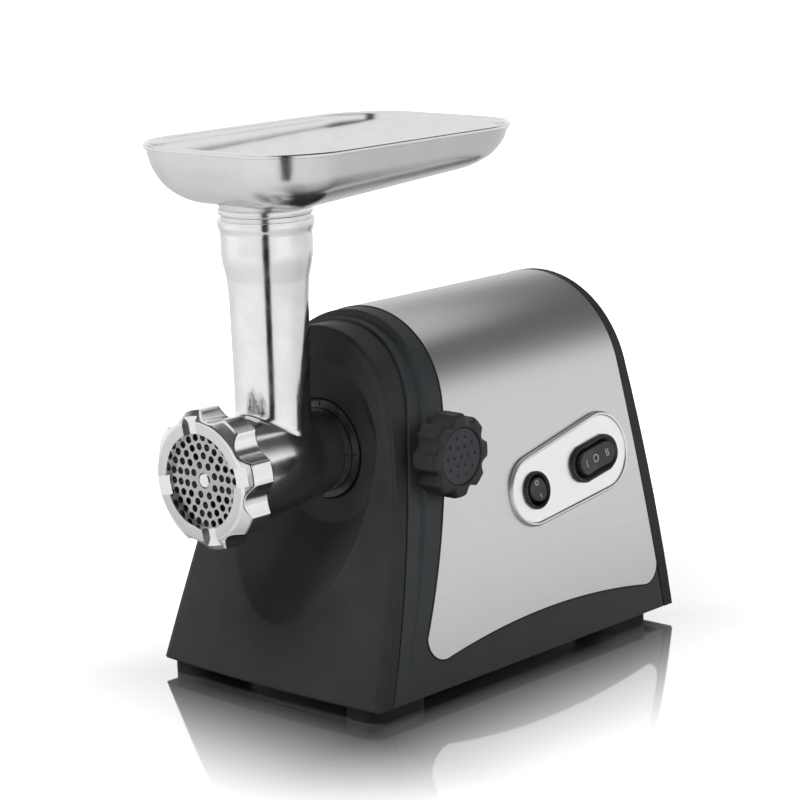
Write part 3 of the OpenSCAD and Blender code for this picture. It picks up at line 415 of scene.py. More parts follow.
# %% Clamp boss
BOSS_R, BOSS_BORE, BOSS_LEN = 6.8, 4.5, 8.2
turned("knob_boss", [(BOSS_R, KNOB_SEAT - BOSS_LEN), (BOSS_R, KNOB_SEAT), (BOSS_BORE, KNOB_SEAT),
                     (BOSS_BORE, KNOB_SEAT - BOSS_LEN)],
       "X", (0, KNOB_Y, KNOB_Z), "housing", steps=64, reach=[0, 0.5, 0.3, 0], slot="band_shell")

# %% [markdown]
# ## Steel wrap
# One sheet goes up the flank, over the crown and down the other side. Its lower edge is a shallow arch
# between two corner arcs. Each column starts on that edge and keeps its share of the width on the way
# up, so that the brushing and the reflections run true.

# %% Steel wrap
WRAP_T = 0.7
FRONT_CORNER, FRONT_R = (45.0, 40.2), 15.0
REAR_CORNER, REAR_R = (233.0, 37.8), 12.0
EDGE_Y, EDGE_Z, EDGE_FALL = 141.0, 33.9, 1048.0


def lower_edge(n=14, m=44):
    """Points (y, z) of the lower edge: an arc, the parabola EDGE_Z - (y - EDGE_Y)^2 / EDGE_FALL, an arc."""
    front_turn, rear_turn = np.radians(np.linspace(180, 268, n)), np.radians(np.linspace(272, 360, n))
    y = np.linspace(FRONT_CORNER[0] + 1.5, REAR_CORNER[0] - 1.5, m)
    front = np.array(FRONT_CORNER) + FRONT_R * np.stack([np.cos(front_turn), np.sin(front_turn)], 1)
    rear = np.array(REAR_CORNER) + REAR_R * np.stack([np.cos(rear_turn), np.sin(rear_turn)], 1)
    return np.concatenate([front, np.stack([y, EDGE_Z - (y - EDGE_Y) ** 2 / EDGE_FALL], 1), rear])


def wrap_surface(rows=201):
    """Grid over the sheet: columns along y, rows from the left lower edge over the crown to the right."""
    edge = lower_edge()
    share = (edge[:, 0] - wrap_y0(edge[:, 1])) / (wrap_y1(edge[:, 1]) - wrap_y0(edge[:, 1]))
    share = np.clip(share, 0, 1)
    t = arch_place(edge[:, 1])[:, None] * np.linspace(-1, 1, rows)[None, :]
    p, n = arch(t)
    y = wrap_y0(p[..., 1]) * (1 - share[:, None]) + wrap_y1(p[..., 1]) * share[:, None]
    return np.stack([p[..., 0], y, p[..., 1]], -1), np.stack([n[..., 0], 0 * y, n[..., 1]], -1)


wrap_grid, wrap_normal = wrap_surface()
closed = np.concatenate([wrap_grid, (wrap_grid - WRAP_T * wrap_normal)[::-1]], 0)
columns, rows = closed.shape[:2]
i = np.arange(columns // 2 - 1)
j = columns - 1 - i
faces = np.concatenate([grid_faces(columns, rows, True, False), np.stack([i, j, j - 1, i + 1], 1) * rows,
                        np.stack([i, i + 1, j - 1, j], 1) * rows + rows - 1])
wrap = mesh_piece("steel_wrap_sheet", closed.reshape(-1, 3), faces.tolist(), "housing",
                  replaced=["steel_wrap"], slot="brushed_wrap", sharp=50)
cut(wrap, through_plate(plate_outline(-SEAT_GAP), -4.0))

# %% [markdown]
# A thin black bead runs round the sheet's edge: painted shade, standing in for the dark gap between the
# sheet and the casing, and it hides the sheet's cut. It is a round bead carried along a path: at each point
# a circle stands across the path's direction, which is measured from its neighbours.

# %% Dark bead round the sheet, painted shade at its edge
EDGE_SHADE_R, EDGE_SHADE_SINK = 0.62, 0.42


def tube(name, path, normal, radius, body, sides=10, **more):
    """A round bead along a closed path: path + r (cos a across + sin a up), with up near the normal."""
    along = np.roll(path, -1, 0) - np.roll(path, 1, 0)
    along /= np.linalg.norm(along, axis=1, keepdims=True)
    across = np.cross(along, normal)
    across /= np.linalg.norm(across, axis=1, keepdims=True)
    up = np.cross(across, along)
    a = np.linspace(0, TAU, sides, endpoint=False)[None, :, None]
    rings = path[:, None] + radius * (np.cos(a) * across[:, None] + np.sin(a) * up[:, None])
    return skin(name, rings, body, **more)


def four_sides(grid):
    """The four sides of a grid as one closed path."""
    return np.concatenate([grid[:, 0], grid[-1, 1:-1], grid[::-1, -1], grid[0, 1:-1][::-1]])


edge_normal = four_sides(wrap_normal)
# the black bead is painted shade for the gap between the sheet and the casing
tube("wrap_seal", four_sides(wrap_grid) - EDGE_SHADE_SINK * edge_normal, edge_normal, EDGE_SHADE_R, "housing",
     slot="rubber_black")

# %% [markdown]
# ## Front cover
# The cover's rings all go round the auger's axis. They run from the port over the dish's flat floor,
# up its sloping wall to the mouth, across the bulging face to a soft edge and a shallow groove, and
# back over the border to the parting line. The mouth is half a circle above and half an ellipse below.

# %% Front cover
PORT_R, DISH_R, DISH_Y = 29.7, 43.3, 40.0
MOUTH_R, MOUTH_DROP = 55.0, 96.0
COVER_BACK = 4.0            # the cover's inside closes this far behind the dish's floor


def cover_line(top, foot):
    """Arch outline moved in by top and foot, closed by a straight run along the floor line."""
    p = arch(along_arch, top, foot)[0]
    w = np.linspace(0, 1, 62)[1:-1, None]
    return np.concatenate([p, p[-1] * (1 - w) + p[0] * w])


def round_axis(directions, radius):
    """Points (x, z) at a radius from the auger's axis, in directions counted from upright."""
    return np.stack([np.sin(directions) * radius, AXIS_Z + np.cos(directions) * radius], -1)


def standing(xz, y):
    """Points (x, z) set up at y."""
    return np.stack([xz[:, 0], y + 0 * xz[:, 0], xz[:, 1]], -1)


def on_face(xz, deeper=0.0):
    """Points (x, z) laid on the bulging face, or deeper behind it."""
    return standing(xz, face_surface(xz[:, 0], xz[:, 1]) + deeper)


border = cover_line(5.6, 0.5)
turn = np.arctan2(border[:, 0], border[:, 1] - AXIS_Z)
on_floor = (np.arange(len(border)) >= len(along_arch)).astype(float)
ellipse_r = 1 / np.sqrt((np.sin(turn) / MOUTH_R) ** 2 + (np.cos(turn) / MOUTH_DROP) ** 2)
mouth = round_axis(turn, np.where(np.cos(turn) >= 0, MOUTH_R, ellipse_r))
soft_edge, inner_line = cover_line(9.0, 3.6), cover_line(9.4, 4.2)
cover_rings = [
    (standing(round_axis(turn, PORT_R), DISH_Y + COVER_BACK), 0.0),
    (standing(round_axis(turn, PORT_R), DISH_Y), 0.6),
    (standing(round_axis(turn, DISH_R), DISH_Y), 2.0),
    (on_face(mouth), 1.3),
]
cover_rings += [(on_face(mouth * (1 - w) + soft_edge * w), 0.0) for w in (0.12, 0.3, 0.5, 0.75)]
cover_rings += [
    (on_face(soft_edge), 2.5),
    (on_face(cover_line(7.4, 2.2), 2.4), 1.2),
    (on_face(cover_line(6.2, 1.1), 1.7 + 1.2 * on_floor), 0.8),
    (on_face(border, 2.6 + 0.4 * on_floor), 0.8),
    (standing(border, part_y(border[:, 1]) - 0.15), 0.4),
    (standing(inner_line, part_y(inner_line[:, 1]) - 1.0), 0.0),
    (standing(round_axis(turn, 50.0), DISH_Y + COVER_BACK), 0.0),
]
rings = soften(np.stack([ring for ring, _ in cover_rings], 1), [reach for _, reach in cover_rings], steps=5)
skin("front_cover_shell", rings, "housing", replaced=["front_cover"], slot="black_shell")

# %% [markdown]
# ## Pan
# The pan is pressed sheet: its inside is a height field. Every point lies at a distance s inside the
# rounded rectangle of the rim, and the wall is a quarter of an ellipse in s, so that it leaves the rim
# steeply and meets the floor without a line.

# %% The pan's inside
PAN_HX, PAN_HY, PAN_R, PAN_Y = 70.5, 105.0, 43.5, 54.0
RIM_Z, RIM_DROP, LIP, LIP_UNDER = 322.0, 1.3, 3.4, 2.2
WALL_W, PAN_DEPTH, PAN_RISE, RISE_FROM = 44.0, 32.5, 0.06, -30.0


def pan_depth(y):
    """Depth of the floor, a little shallower to the rear."""
    return PAN_DEPTH - PAN_RISE * np.maximum(RISE_FROM, y)


def rim_inset(x, y):
    """Distance inside the rim's rounded rectangle."""
    qx, qy = np.abs(x) - (PAN_HX - PAN_R), np.abs(y - PAN_Y) - (PAN_HY - PAN_R)
    outside = np.hypot(np.maximum(qx, 0), np.maximum(qy, 0))
    return PAN_R - outside - np.minimum(np.maximum(qx, qy), 0)


def pan_floor(x, y, lip=LIP):
    """Inside height: rim - depth * sqrt(1 - (1 - q)^2), with q the share of the wall's width."""
    q = np.clip((rim_inset(x, y) - lip) / (WALL_W - lip), 0, 1)
    return RIM_Z - RIM_DROP - pan_depth(y) * np.sqrt(1 - (1 - q) ** 2)


print(f"pan: {2 * PAN_HX:.0f} by {2 * PAN_HY:.0f} mm, floor at {float(pan_floor(0.0, PAN_Y)):.1f} mm")

# %% [markdown]
# The skin starts in the neck's bore, spreads over the floor, climbs to the rolled rim, and returns
# underneath to the neck. Its rings are rounded rectangles that shrink and turn into the bore's circle,
# so every ring has the same number of points, each in the same bearing from the throat's axis.

# %% Rings of the pan
NECK_R, BORE_R, PLUG_R = 25.6, 19.8, 23.0
SHEET = 1.2


def rim_outline(n=26, m=24):
    """Rim outline with n points on each corner's arc and m along each straight side, and its normals."""
    edge, normal = (grid.reshape(4, n, 2) for grid in rounded_box_outline(PAN_HX, PAN_HY, PAN_R, n))
    w = np.arange(m)[None, :, None] / m
    sides = edge[:, -1:] * (1 - w) + np.roll(edge, -1, 0)[:, :1] * w
    side_normals = np.broadcast_to(normal[:, -1:], sides.shape)
    return (np.concatenate([edge[:, :-1], sides], 1).reshape(-1, 2) + np.array([0, PAN_Y]),
            np.concatenate([normal[:, :-1], side_normals], 1).reshape(-1, 2))


rim, rim_normal = rim_outline()
bearing = np.arctan2(rim[:, 1], rim[:, 0])


def neck(radius, z):
    """Circle about the throat's axis, with its points in the bearings of the rim's points."""
    return np.column_stack([np.cos(bearing) * radius, np.sin(bearing) * radius, z + 0 * bearing])


def pan_ring(inset, z=None, toward=0.0):
    """Ring moved in by inset and drawn toward the bore; on the inside surface when z is left out."""
    xy = (rim - inset * rim_normal) * (1 - toward) + neck(BORE_R + 1.5, 0)[:, :2] * toward
    height = pan_floor(xy[:, 0], xy[:, 1]) if z is None else z + 0 * xy[:, 0]
    return np.column_stack([xy, height])


def under(ring, lower=0.0):
    """The same ring on the underside of the sheet, which is a little thicker toward the floor."""
    x, y = ring[:, 0], ring[:, 1]
    thick = SHEET * np.clip(rim_inset(x, y) / 8, 0.9, 1.3)
    return np.column_stack([x, y, pan_floor(x, y, LIP_UNDER) - thick - lower])


print("points in a ring:", len(rim))

# %% Pan
RIM_ROLL = [(3.0, 0.5), (2.2, 0.0), (1.2, 0.0), (0.3, 0.6), (0.0, 1.6), (0.3, 2.6), (1.0, 2.9), (1.7, 2.6)]
NECK_BEAD = [(0.0, 285.2), (1.0, 284.8), (1.2, 284.0), (1.2, 282.4), (0.8, 281.6), (0.0, 281.2),
             (0.0, 279.0)]
wall = [LIP + 31.5 * w ** 1.8 for w in np.linspace(0, 1, 22)]
across_floor = list(np.linspace(0.06, 1, 13))
pan_loop = [neck(BORE_R, 258.0), neck(BORE_R, 287.5)]
pan_loop += [pan_ring(wall[-1], toward=share) for share in across_floor[::-1]]
pan_loop += [pan_ring(inset) for inset in wall[::-1]]
pan_loop += [pan_ring(inset, RIM_Z - drop) for inset, drop in RIM_ROLL]
pan_loop += [under(pan_ring(inset)) for inset in wall]
pan_loop += [under(pan_ring(wall[-1], toward=share)) for share in across_floor[:-3]]
pan_loop += [under(neck(NECK_R + 1.0, 0.0), lower=0.1)]
pan_loop += [neck(NECK_R + out, z) for out, z in NECK_BEAD]
pan_loop += [neck(PLUG_R, 279.0), neck(PLUG_R, 258.6), neck(PLUG_R - 0.6, 258.0)]
skin("hopper_pan", np.stack(pan_loop), "tray", replaced=["hopper_tray"], slot="tray_sheet", sharp=50)

# %% [markdown]
# ## Cast head
# The barrel is turned: a collar for the nut's thread, a tapering body and a spigot that goes into the
# casing. Its profile is written as (radius, y, how far the corner is rounded).

# %% Barrel
BARREL_PROFILE = [
    (31.1, -54, 0.3), (32.6, -54, 0.3), (33.1, -53.2, 0.3), (33.1, -39.8, 1.0), (31.8, -38, 1.2),
    (30, -10, 3.0), (25, 33, 8.0), (24.5, 36, 1.0), (24.5, 77.2, 0.4), (23.7, 78, 0.4), (21.3, 78, 0.3),
    (21.3, 38, 0.3), (28.5, -46, 0.3), (28.5, -51, 0.2), (31.1, -51, 0.2),
]
barrel = turned("grinder_barrel_cast", [(r, y) for r, y, _ in BARREL_PROFILE], "Y", (0, 0, AXIS_Z), "head",
                steps=200, reach=[reach for _, _, reach in BARREL_PROFILE], replaced=["grinder_barrel"],
                slot="cast_aluminium")

# %% [markdown]
# The throat is round too, except that its lowest rings follow the saddle where a round tube meets a
# tapering one, with a casting's fillet between them. The bore is then cut through the barrel's wall.

# %% Throat
THROAT_BORE = 19.4
round_z = np.linspace(0, TAU, 160, endpoint=False)


def barrel_r(y):
    """Outer radius of the barrel along its length."""
    return np.interp(y, [-54, -39.5, -38, -10, 33, 36, 78], [33.1, 33.1, 31.8, 30, 25, 24.5, 24.5])


def throat_ring(radius, z):
    """Circle about the throat's axis at height z, which may differ from point to point."""
    return np.stack([radius * np.cos(round_z), radius * np.sin(round_z), z + 0 * round_z], -1)


def saddle_ring(radius, lift):
    """Circle laid on the barrel and lifted: z = axis + sqrt(R(y)^2 - x^2) + lift."""
    x, y = radius * np.cos(round_z), radius * np.sin(round_z)
    return throat_ring(radius, AXIS_Z + np.sqrt(np.maximum(barrel_r(y) ** 2 - x ** 2, 16.0)) + lift)


throat_rings = [
    (throat_ring(THROAT_BORE, AXIS_Z + 20), 0.0), (saddle_ring(24.4, -1.6), 0.5),
    (saddle_ring(21.8, 1.0), 3.0),
    (throat_ring(21.6, 177.0), 0.5), (throat_ring(22.5, 232.0), 4.0), (throat_ring(23.4, 245.0), 2.0),
    (throat_ring(26.0, 257.0), 4.0), (throat_ring(26.1, 272.0), 1.5), (throat_ring(27.4, 275.0), 1.0),
    (throat_ring(27.5, 279.0), 0.5), (throat_ring(23.2, 279.0), 0.4), (throat_ring(23.2, 257.4), 0.3),
    (throat_ring(THROAT_BORE, 257.4), 0.3),
]
throat_reach = [reach for _, reach in throat_rings]
rings = soften(np.stack([ring for ring, _ in throat_rings], 1), throat_reach, steps=6)
skin("grinder_throat_cast", rings, "head", replaced=["grinder_barrel"], slot="cast_aluminium", sharp=40)
cut(barrel, np.stack([neck(THROAT_BORE, AXIS_Z), neck(THROAT_BORE, AXIS_Z + 45)]))

# %% [markdown]
# ## Ring nut
# Eight lobes for the hand swell out of the nut's rim from front to rear, and a cone faces its front.
# The smaller of the cone's radius and the lobes' radius wins, rounded where they cross. Four slots in
# the front rim take a spanner.

# %% Ring nut
NUT_Y0, NUT_Y1, NUT_TURNED = -60.0, -40.0, np.radians(-12)
NUT_LOBE, NUT_VALLEY, NUT_FACE, NUT_BORE, NUT_OPEN = 39.9, 35.0, 33.8, 33.4, 27.0
LOBES, CONE_LENGTH, SHOULDER_Y = 8, 5.5, -56.0
round_y = np.linspace(0, TAU, 320, endpoint=False)


def soft_min(a, b, width):
    """Smaller of a and b, blended over width where they cross."""
    h = np.clip(0.5 + 0.5 * (b - a) / width, 0, 1)
    return b * (1 - h) + a * h - width * h * (1 - h)


def lobes(angle, low, high, scoop):
    """Radius high, with a hollow down to low between the lobes: high - (high - low)(1 - (x / scoop)^2).

    x is the angle from the hollow's middle, so that the lobes keep flat tops and crisp edges."""
    pitch = TAU / LOBES
    x = np.abs((angle % pitch) - pitch / 2)
    return high - (high - low) * np.clip(1 - (x / scoop) ** 2, 0, 1)


def ring_y(radius, y):
    """Ring about the auger's axis at y."""
    return np.stack([radius * np.sin(round_y), y + 0 * round_y, AXIS_Z + radius * np.cos(round_y)], -1)


def nut_ring(y, shrink=0.0):
    """Ring of the nut at y: the lobes, cut by the cone at the front."""
    radius = lobes(round_y - NUT_TURNED, NUT_VALLEY, NUT_LOBE, np.radians(13.5))
    cone = NUT_FACE + (NUT_LOBE + 0.4 - NUT_FACE) * (y - NUT_Y0) / CONE_LENGTH
    return ring_y(soft_min(radius, cone, 0.5) - shrink, y)


nut_rings = [ring_y(NUT_OPEN + 0.3, NUT_Y0), ring_y(NUT_FACE - 0.6, NUT_Y0)]
nut_rings += [nut_ring(y) for y in np.linspace(NUT_Y0 + 0.5, NUT_Y1 - 1.0, 30)]
nut_rings += [nut_ring(NUT_Y1 - 0.4, 0.25), nut_ring(NUT_Y1, 0.9), ring_y(NUT_BORE, NUT_Y1)]
nut_rings += [ring_y(NUT_BORE, SHOULDER_Y), ring_y(NUT_OPEN, SHOULDER_Y), ring_y(NUT_OPEN, NUT_Y0 + 0.3)]
nut = skin("ring_nut_cast", np.stack(nut_rings), "nut", replaced=["ring_nut"], slot="cast_aluminium",
           sharp=40)

# %% Spanner slots
SLOT_W, SLOT_DEPTH = 11.0, 2.6


def slot_block(angle):
    """Box across the nut's front rim at an angle."""
    side = np.array([np.cos(angle), 0, -np.sin(angle)])
    out = np.array([np.sin(angle), 0, np.cos(angle)])
    corners = [(-1, -2), (1, -2), (1, SLOT_DEPTH), (-1, SLOT_DEPTH)]
    return np.array([[np.array([0, NUT_Y0 + y, AXIS_Z]) + out * r + side * u * SLOT_W / 2
                      for u, y in corners] for r in (22.0, 46.0)])


cut(nut, *[slot_block(quarter * np.pi / 2 + NUT_TURNED) for quarter in range(4)])

# %% [markdown]
# ## Clamp knob
# The knob's eight finger lobes are blunt, with flat tops and sharp sides, and run the full length of
# the knob. Its front has a shallow seat for the cap.

# %% Clamp knob
KNOB_X0 = KNOB_SEAT + 1.2
KNOB_X1 = KNOB_X0 + 16.6
KNOB_R, KNOB_VALLEY, SCREW_R = 24.5, 21.0, 4.6


def knob_ring(x, shrink=0.0, r=None):
    """Ring about the knob's axis at x: the lobes less shrink, or a plain circle where r is given."""
    r = lobes(round_y, KNOB_VALLEY, KNOB_R, np.radians(12.5)) - shrink if r is None else r
    return np.stack([x + 0 * round_y, KNOB_Y + r * np.sin(round_y), KNOB_Z + r * np.cos(round_y)], -1)


knob_rings = [
    (knob_ring(KNOB_X0, r=SCREW_R), 0.0), (knob_ring(KNOB_X0, 1.0), 0.8), (knob_ring(KNOB_X0 + 1.0), 0.8),
    (knob_ring(KNOB_X1 - 2.4, 0.1), 1.2), (knob_ring(KNOB_X1 - 0.4, 1.9), 0.9),
    (knob_ring(KNOB_X1, r=16.9), 0.5), (knob_ring(KNOB_X1 - 1.2, r=16.5), 0.3),
    (knob_ring(KNOB_X1 - 1.3, r=SCREW_R), 0.0),
]
rings = soften(np.stack([ring for ring, _ in knob_rings], 1), [reach for _, reach in knob_rings])
skin("clamp_knob_moulded", rings, "knob", replaced=["clamp_knob"], slot="knob_black", sharp=40)

# %% [markdown]
# ## Control plate
# The plate's rings are its outline moved in step by step. A raised bead with a dark line on each side
# runs round the satin field, and the two switches sit in holes through it.

# %% Control plate
PLATE_STEPS = [             # inset, height over the flank, rounding
    (0.9, -1.3, 0), (0.0, -1.3, 0.2), (0.0, 1.5, 0.4), (0.7, 2.3, 0.4), (1.1, 2.7, 0.4), (2.0, 2.7, 0.4),
    (2.5, 1.7, 0.3), (3.4, 1.6, 0.4), (8.0, 1.6, 0), (16.0, 1.6, 0),
]
plate_lines = np.stack([on_plate(plate_outline(inset), w) for inset, w, _ in PLATE_STEPS], 1)
open_rings = soften(plate_lines, [reach for _, _, reach in PLATE_STEPS], closed=False)
plate = skin("control_plate_face", np.swapaxes(open_rings, 0, 1), "housing", wrap_u=False, caps=True,
             replaced=["control_plate"], slot="silver_trim")
cut(plate, power_hole, turn_hole)

# %% [markdown]
# ## Switch frames
# A frame is its outline, moved in and lifted step by step: a bevel up from the plate, a narrow flat and
# a wider bevel down into the well. The direction switch's collar swells into an oval, a superellipse.

# %% Switch frames
POWER_WELL, TURN_WELL_U, TURN_WELL_V = 8.9, 18.2, 7.8
COLLAR_U, COLLAR_V, COLLAR_POWER = 20.0, 10.1, 2.4


def switch_frame(name, outline, depth, lip, node):
    """Tube through the plate with a bevelled collar; outline(g) is the well's outline grown by g."""
    steps = [(0.0, lip - 1.6, 0.2), (1.1, lip, 0.4), (1.8, lip, 0.5), (2.5, lip - 0.9, 0.3), (2.5, 1.6, 0.1),
             (0.7, 1.6, 0.1), (0.7, -depth, 0.1), (0.0, -depth, 0.1)]
    lines = np.stack([on_plate(outline(g), w) for g, w, _ in steps], 1)
    grid = soften(lines, [reach for _, _, reach in steps])
    skin(name, grid, "housing", replaced=[node], slot="switch_black")


def turn_well(g):
    """The direction switch's well; grown by a millimetre or more, |u / hu|^p + |v / hv|^p = 1."""
    well = stadium(TURN_AT, TURN_WELL_U + g, TURN_WELL_V + g, TURN_WELL_V + g - 0.1, 25)
    if g < 1.0:
        return well
    a = np.arctan2(well[:, 1] - TURN_AT[1], well[:, 0] - TURN_AT[0])
    u, v = np.abs(np.cos(a) / (COLLAR_U + g)), np.abs(np.sin(a) / (COLLAR_V + g))
    r = (u ** COLLAR_POWER + v ** COLLAR_POWER) ** (-1 / COLLAR_POWER)
    return np.stack([TURN_AT[0] + r * np.cos(a), TURN_AT[1] + r * np.sin(a)], 1)


switch_frame("power_frame_bevelled", lambda g: circle(POWER_AT, POWER_WELL + g), 15.0, 3.8,
             "power_switch_frame")
switch_frame("direction_frame_bevelled", turn_well, 16.0, 4.2, "direction_switch_frame")

# %% [markdown]
# ## Rockers
# A rocker's top is a shallow V. Its height is the V's, less a rounding that grows toward the outline as
# a quarter circle does, and its sides drop straight into the well. The direction rocker has a dimple
# for the fingertip in its middle.

# %% A rocker over a stadium
EDGE_ROUND = 0.9


def chord(u, hu, hv):
    """Half chord at u of a stadium with half sizes hu and hv, or of a circle where they are equal."""
    past = np.maximum(np.abs(u) - (hu - hv), 0)
    return np.sqrt(np.maximum(hv ** 2 - past ** 2, 0.0025))


def to_outline(u, v, hu, hv):
    """Distance from a point inside the stadium to its outline."""
    return hv - np.hypot(np.maximum(np.abs(u) - (hu - hv), 0), v)


def rounding(d, radius):
    """Drop of a rounded edge at the distance d from it: R - sqrt(R^2 - (R - d)^2)."""
    return radius - np.sqrt(np.maximum(radius ** 2 - np.clip(radius - d, 0, radius) ** 2, 0))


def smooth_v(x, slope, blend=0.5):
    """Height of a shallow V with its bottom rounded: slope * (sqrt(x^2 + b^2) - b)."""
    return slope * (np.sqrt(x ** 2 + blend ** 2) - blend)


def rocker(name, hu, hv, roof, place, bottom, node):
    """Rocker over a stadium: sections along u, each a loop over the top and home under it."""
    u = hu * np.sin(np.linspace(-np.pi / 2, np.pi / 2, 72))
    s = np.sin(np.linspace(-np.pi / 2, np.pi / 2, 40))
    uu, vv = u[:, None] + 0 * s, chord(u, hu, hv)[:, None] * s
    top = roof(uu, vv) - rounding(to_outline(uu, vv, hu, hv), EDGE_ROUND)
    loop_u = np.concatenate([uu, uu[:, :2]], 1)
    loop_v = np.concatenate([vv, vv[:, [-1, 0]]], 1)
    loop_w = np.concatenate([top, np.full((len(u), 2), bottom)], 1)
    skin(name, place(loop_u, loop_v, loop_w), node, wrap_u=False, caps=True, replaced=[node],
         slot="rocker_black", sharp=28)


print("half chord in a switch's middle:", float(chord(np.array(0.0), 16.8, 7.2)))

# %% Rockers
POWER_TILT = np.radians(7.0)
POWER_TOP, POWER_SINK = 4.2, 0.6
TURN_TOP, TURN_SINK, TURN_SLOPE = 4.4, 0.4, 1.9 / 17
DIMPLE_R, DIMPLE_DEPTH = 1.5, 0.45


def power_roof(u, v):
    """Top of the power rocker: a V across its short way."""
    return POWER_TOP + smooth_v(v, np.tan(POWER_TILT))


def power_place(u, v, w):
    """The power rocker rests with one end pressed: turned by minus POWER_TILT about u."""
    c, s = np.cos(POWER_TILT), np.sin(POWER_TILT)
    return on_plate(np.stack([POWER_AT[0] + u, POWER_AT[1] + v * c + w * s], -1), w * c - v * s - POWER_SINK)


def turn_roof(u, v):
    """Top of the direction rocker: a V along it, less the dimple's sqrt(1 - r / R)."""
    dimple = np.clip(1 - np.hypot(u, v) / DIMPLE_R, 0, 1)
    return TURN_TOP + smooth_v(u, TURN_SLOPE) - DIMPLE_DEPTH * np.sqrt(dimple)


def turn_place(u, v, w):
    """The direction rocker rests level, in its middle place."""
    return on_plate(np.stack([TURN_AT[0] + u, TURN_AT[1] + v], -1), w - TURN_SINK)


rocker("power_rocker_moulded", 7.2, 7.15, power_roof, power_place, -3.6, "power_rocker")
rocker("direction_rocker_moulded", 16.8, 7.2, turn_roof, turn_place, -3.4, "direction_rocker")

# %% [markdown]
# ## Finishes
# Each finish is a small node tree built from what the real surface is. `linear` turns the sRGB hex a
# painter would name into the linear values Blender works in. `add_node` adds one node: values given as
# other nodes' outputs are linked, plain ones are set.

# %% Material helpers
def linear(code):
    """sRGB hex such as '2e2f31' to linear: ((c + 0.055) / 1.055)^2.4, or c / 12.92 for dark values."""
    c = [int(code[i:i + 2], 16) / 255 for i in (0, 2, 4)]
    return tuple((v / 12.92 if v <= 0.04045 else ((v + 0.055) / 1.055) ** 2.4) for v in c) + (1.0,)


def add_node(tree, kind, inputs=None, stops=(), **settings):
    """Add a node with its own settings, its inputs and a ramp's (place, tone) stops; gives its outputs."""
    node = tree.nodes.new("ShaderNode" + kind)
    for key, value in settings.items():
        setattr(node, key, value)
    for key, value in (inputs or {}).items():
        if isinstance(value, bpy.types.NodeSocket):
            tree.links.new(value, node.inputs[key])
        else:
            node.inputs[key].default_value = value
    for k, (place, tone) in enumerate(stops):
        node.color_ramp.elements[k].position = place
        node.color_ramp.elements[k].color = linear(tone)
    return node.outputs


def start_nodes(owner):
    """Empty the node tree of a new material or world; gives the function that adds a node to it."""
    owner.use_nodes = True
    owner.node_tree.nodes.clear()
    return partial(add_node, owner.node_tree)


print("mid grey 808080 is", round(linear("808080")[0], 3), "in linear light")

# %% [markdown]
# Most surfaces here differ only in numbers: some process leaves a pattern that varies the tone and the
# polish, and a finer relief that bends the highlights. `surface` builds that from Object coordinates,
# which are in metres, so a feature of some millimetres takes a scale of 1000 over that size.

# %% One function for a surface
def surface(name, tone, roughness, lighter=None, *, pattern, spread, ends=(0.3, 0.7), relief=None,
            patchy=0.5, stretch=1, shine=0.5, **values):
    """Noise of the pattern's (mm, detail) mixes tone with lighter between its ends and spreads the
    roughness; noise of the relief's (mm, detail, depth in mm) bumps; stretch lengthens both along y."""
    mat = bpy.data.materials.new(name)
    add = start_nodes(mat)
    place = add("Mapping", {"Vector": add("TexCoord")["Object"], "Scale": (1, 1 / stretch, 1)})[0]
    noise = add("TexNoise", {"Vector": place, "Scale": 1000 / pattern[0], "Detail": pattern[1],
                             "Roughness": patchy})[0]
    values["Base Color"] = add("ValToRGB", {"Fac": noise}, zip(ends, (tone, lighter or tone)))[0]
    values["Roughness"] = add("MapRange", {"Value": noise, "To Min": roughness - spread[0],
                                           "To Max": roughness + spread[1]})[0]
    if relief:
        size, detail, depth = relief
        height = add("TexNoise", {"Vector": place, "Scale": 1000 / size, "Detail": detail})[0]
        values["Normal"] = add("Bump", {"Height": height, "Distance": depth / 1000})[0]
    shader = add("BsdfPrincipled", {"Specular IOR Level": shine, **values})
    add("OutputMaterial", {"Surface": shader[0]})
    return mat


# %% [markdown]
# ### Plastics
# The casing, the knob and other grained parts are moulded in a spark-eroded tool. The grain scatters
# the light, so the highlights are broad and dim; grain finer than a pixel is drawn at about half a
# millimetre. The switches, the port's ring and the breaker's button come from a smoother tool: an even
# tone with a haze in the gloss.

# %% Plastics
moulded = partial(surface, pattern=(22, 2.0), spread=(0.03, 0.04), relief=(0.55, 1.0, 0.012), shine=0.3,
                  IOR=1.5)
satin = partial(surface, pattern=(6, 3.0), spread=(0.04, 0.06), relief=(3, 2.0, 0.004), IOR=1.5)
slot_finish = {
    # black ABS: nearly matt, so the deep dish stays dark
    "black_shell": moulded("moulded_black_abs", "2a2b2b", 0.45, "2f3030", shine=0.16),
    # graphite ABS: a touch bluer and smoother, which draws a soft line along the band
    "band_shell": moulded("moulded_graphite_abs", "2e3133", 0.42, "343739", shine=0.25),
    # the knob's harder ABS: the darkest, with a small highlight on each lobe
    "knob_black": moulded("moulded_knob_abs", "212223", 0.4, "262728"),
    # inside covers and the brushes' boxes: plain and dull
    "inner_black": moulded("moulded_inner_abs", "202123", 0.5, "26272a"),
    # rubber, also worn by the bead of painted shade round the wrap: coarse and matt, it hardly reflects
    "rubber_black": moulded("moulded_rubber", "1b1b1c", 0.62, "202021", relief=(0.8, 1.0, 0.02)),
    # natural nylon: a warm, waxy cream
    "nylon_natural": moulded("moulded_natural_nylon", "dcd6c4", 0.42, "e4dfcf"),
    # pressed carbon: a dull dark grey
    "carbon": moulded("pressed_carbon", "232324", 0.55, "29292a"),
    # the switches' frames: deep black with a clear edge highlight
    "switch_black": satin("satin_switch_abs", "1b1c1d", 0.36),
    # rockers: a little lighter and softer, so that they part from their frames
    "rocker_black": satin("satin_rocker_abs", "2b2c2e", 0.42),
    # the port's ring: black with a narrow sheen
    "port_grey": satin("satin_port_abs", "1b1c1e", 0.35),
    # the breaker's button: a glossy red
    "breaker_red": satin("glossy_breaker_red", "9c2a22", 0.28),
}
slot_finish["brush_box"] = slot_finish["inner_black"]
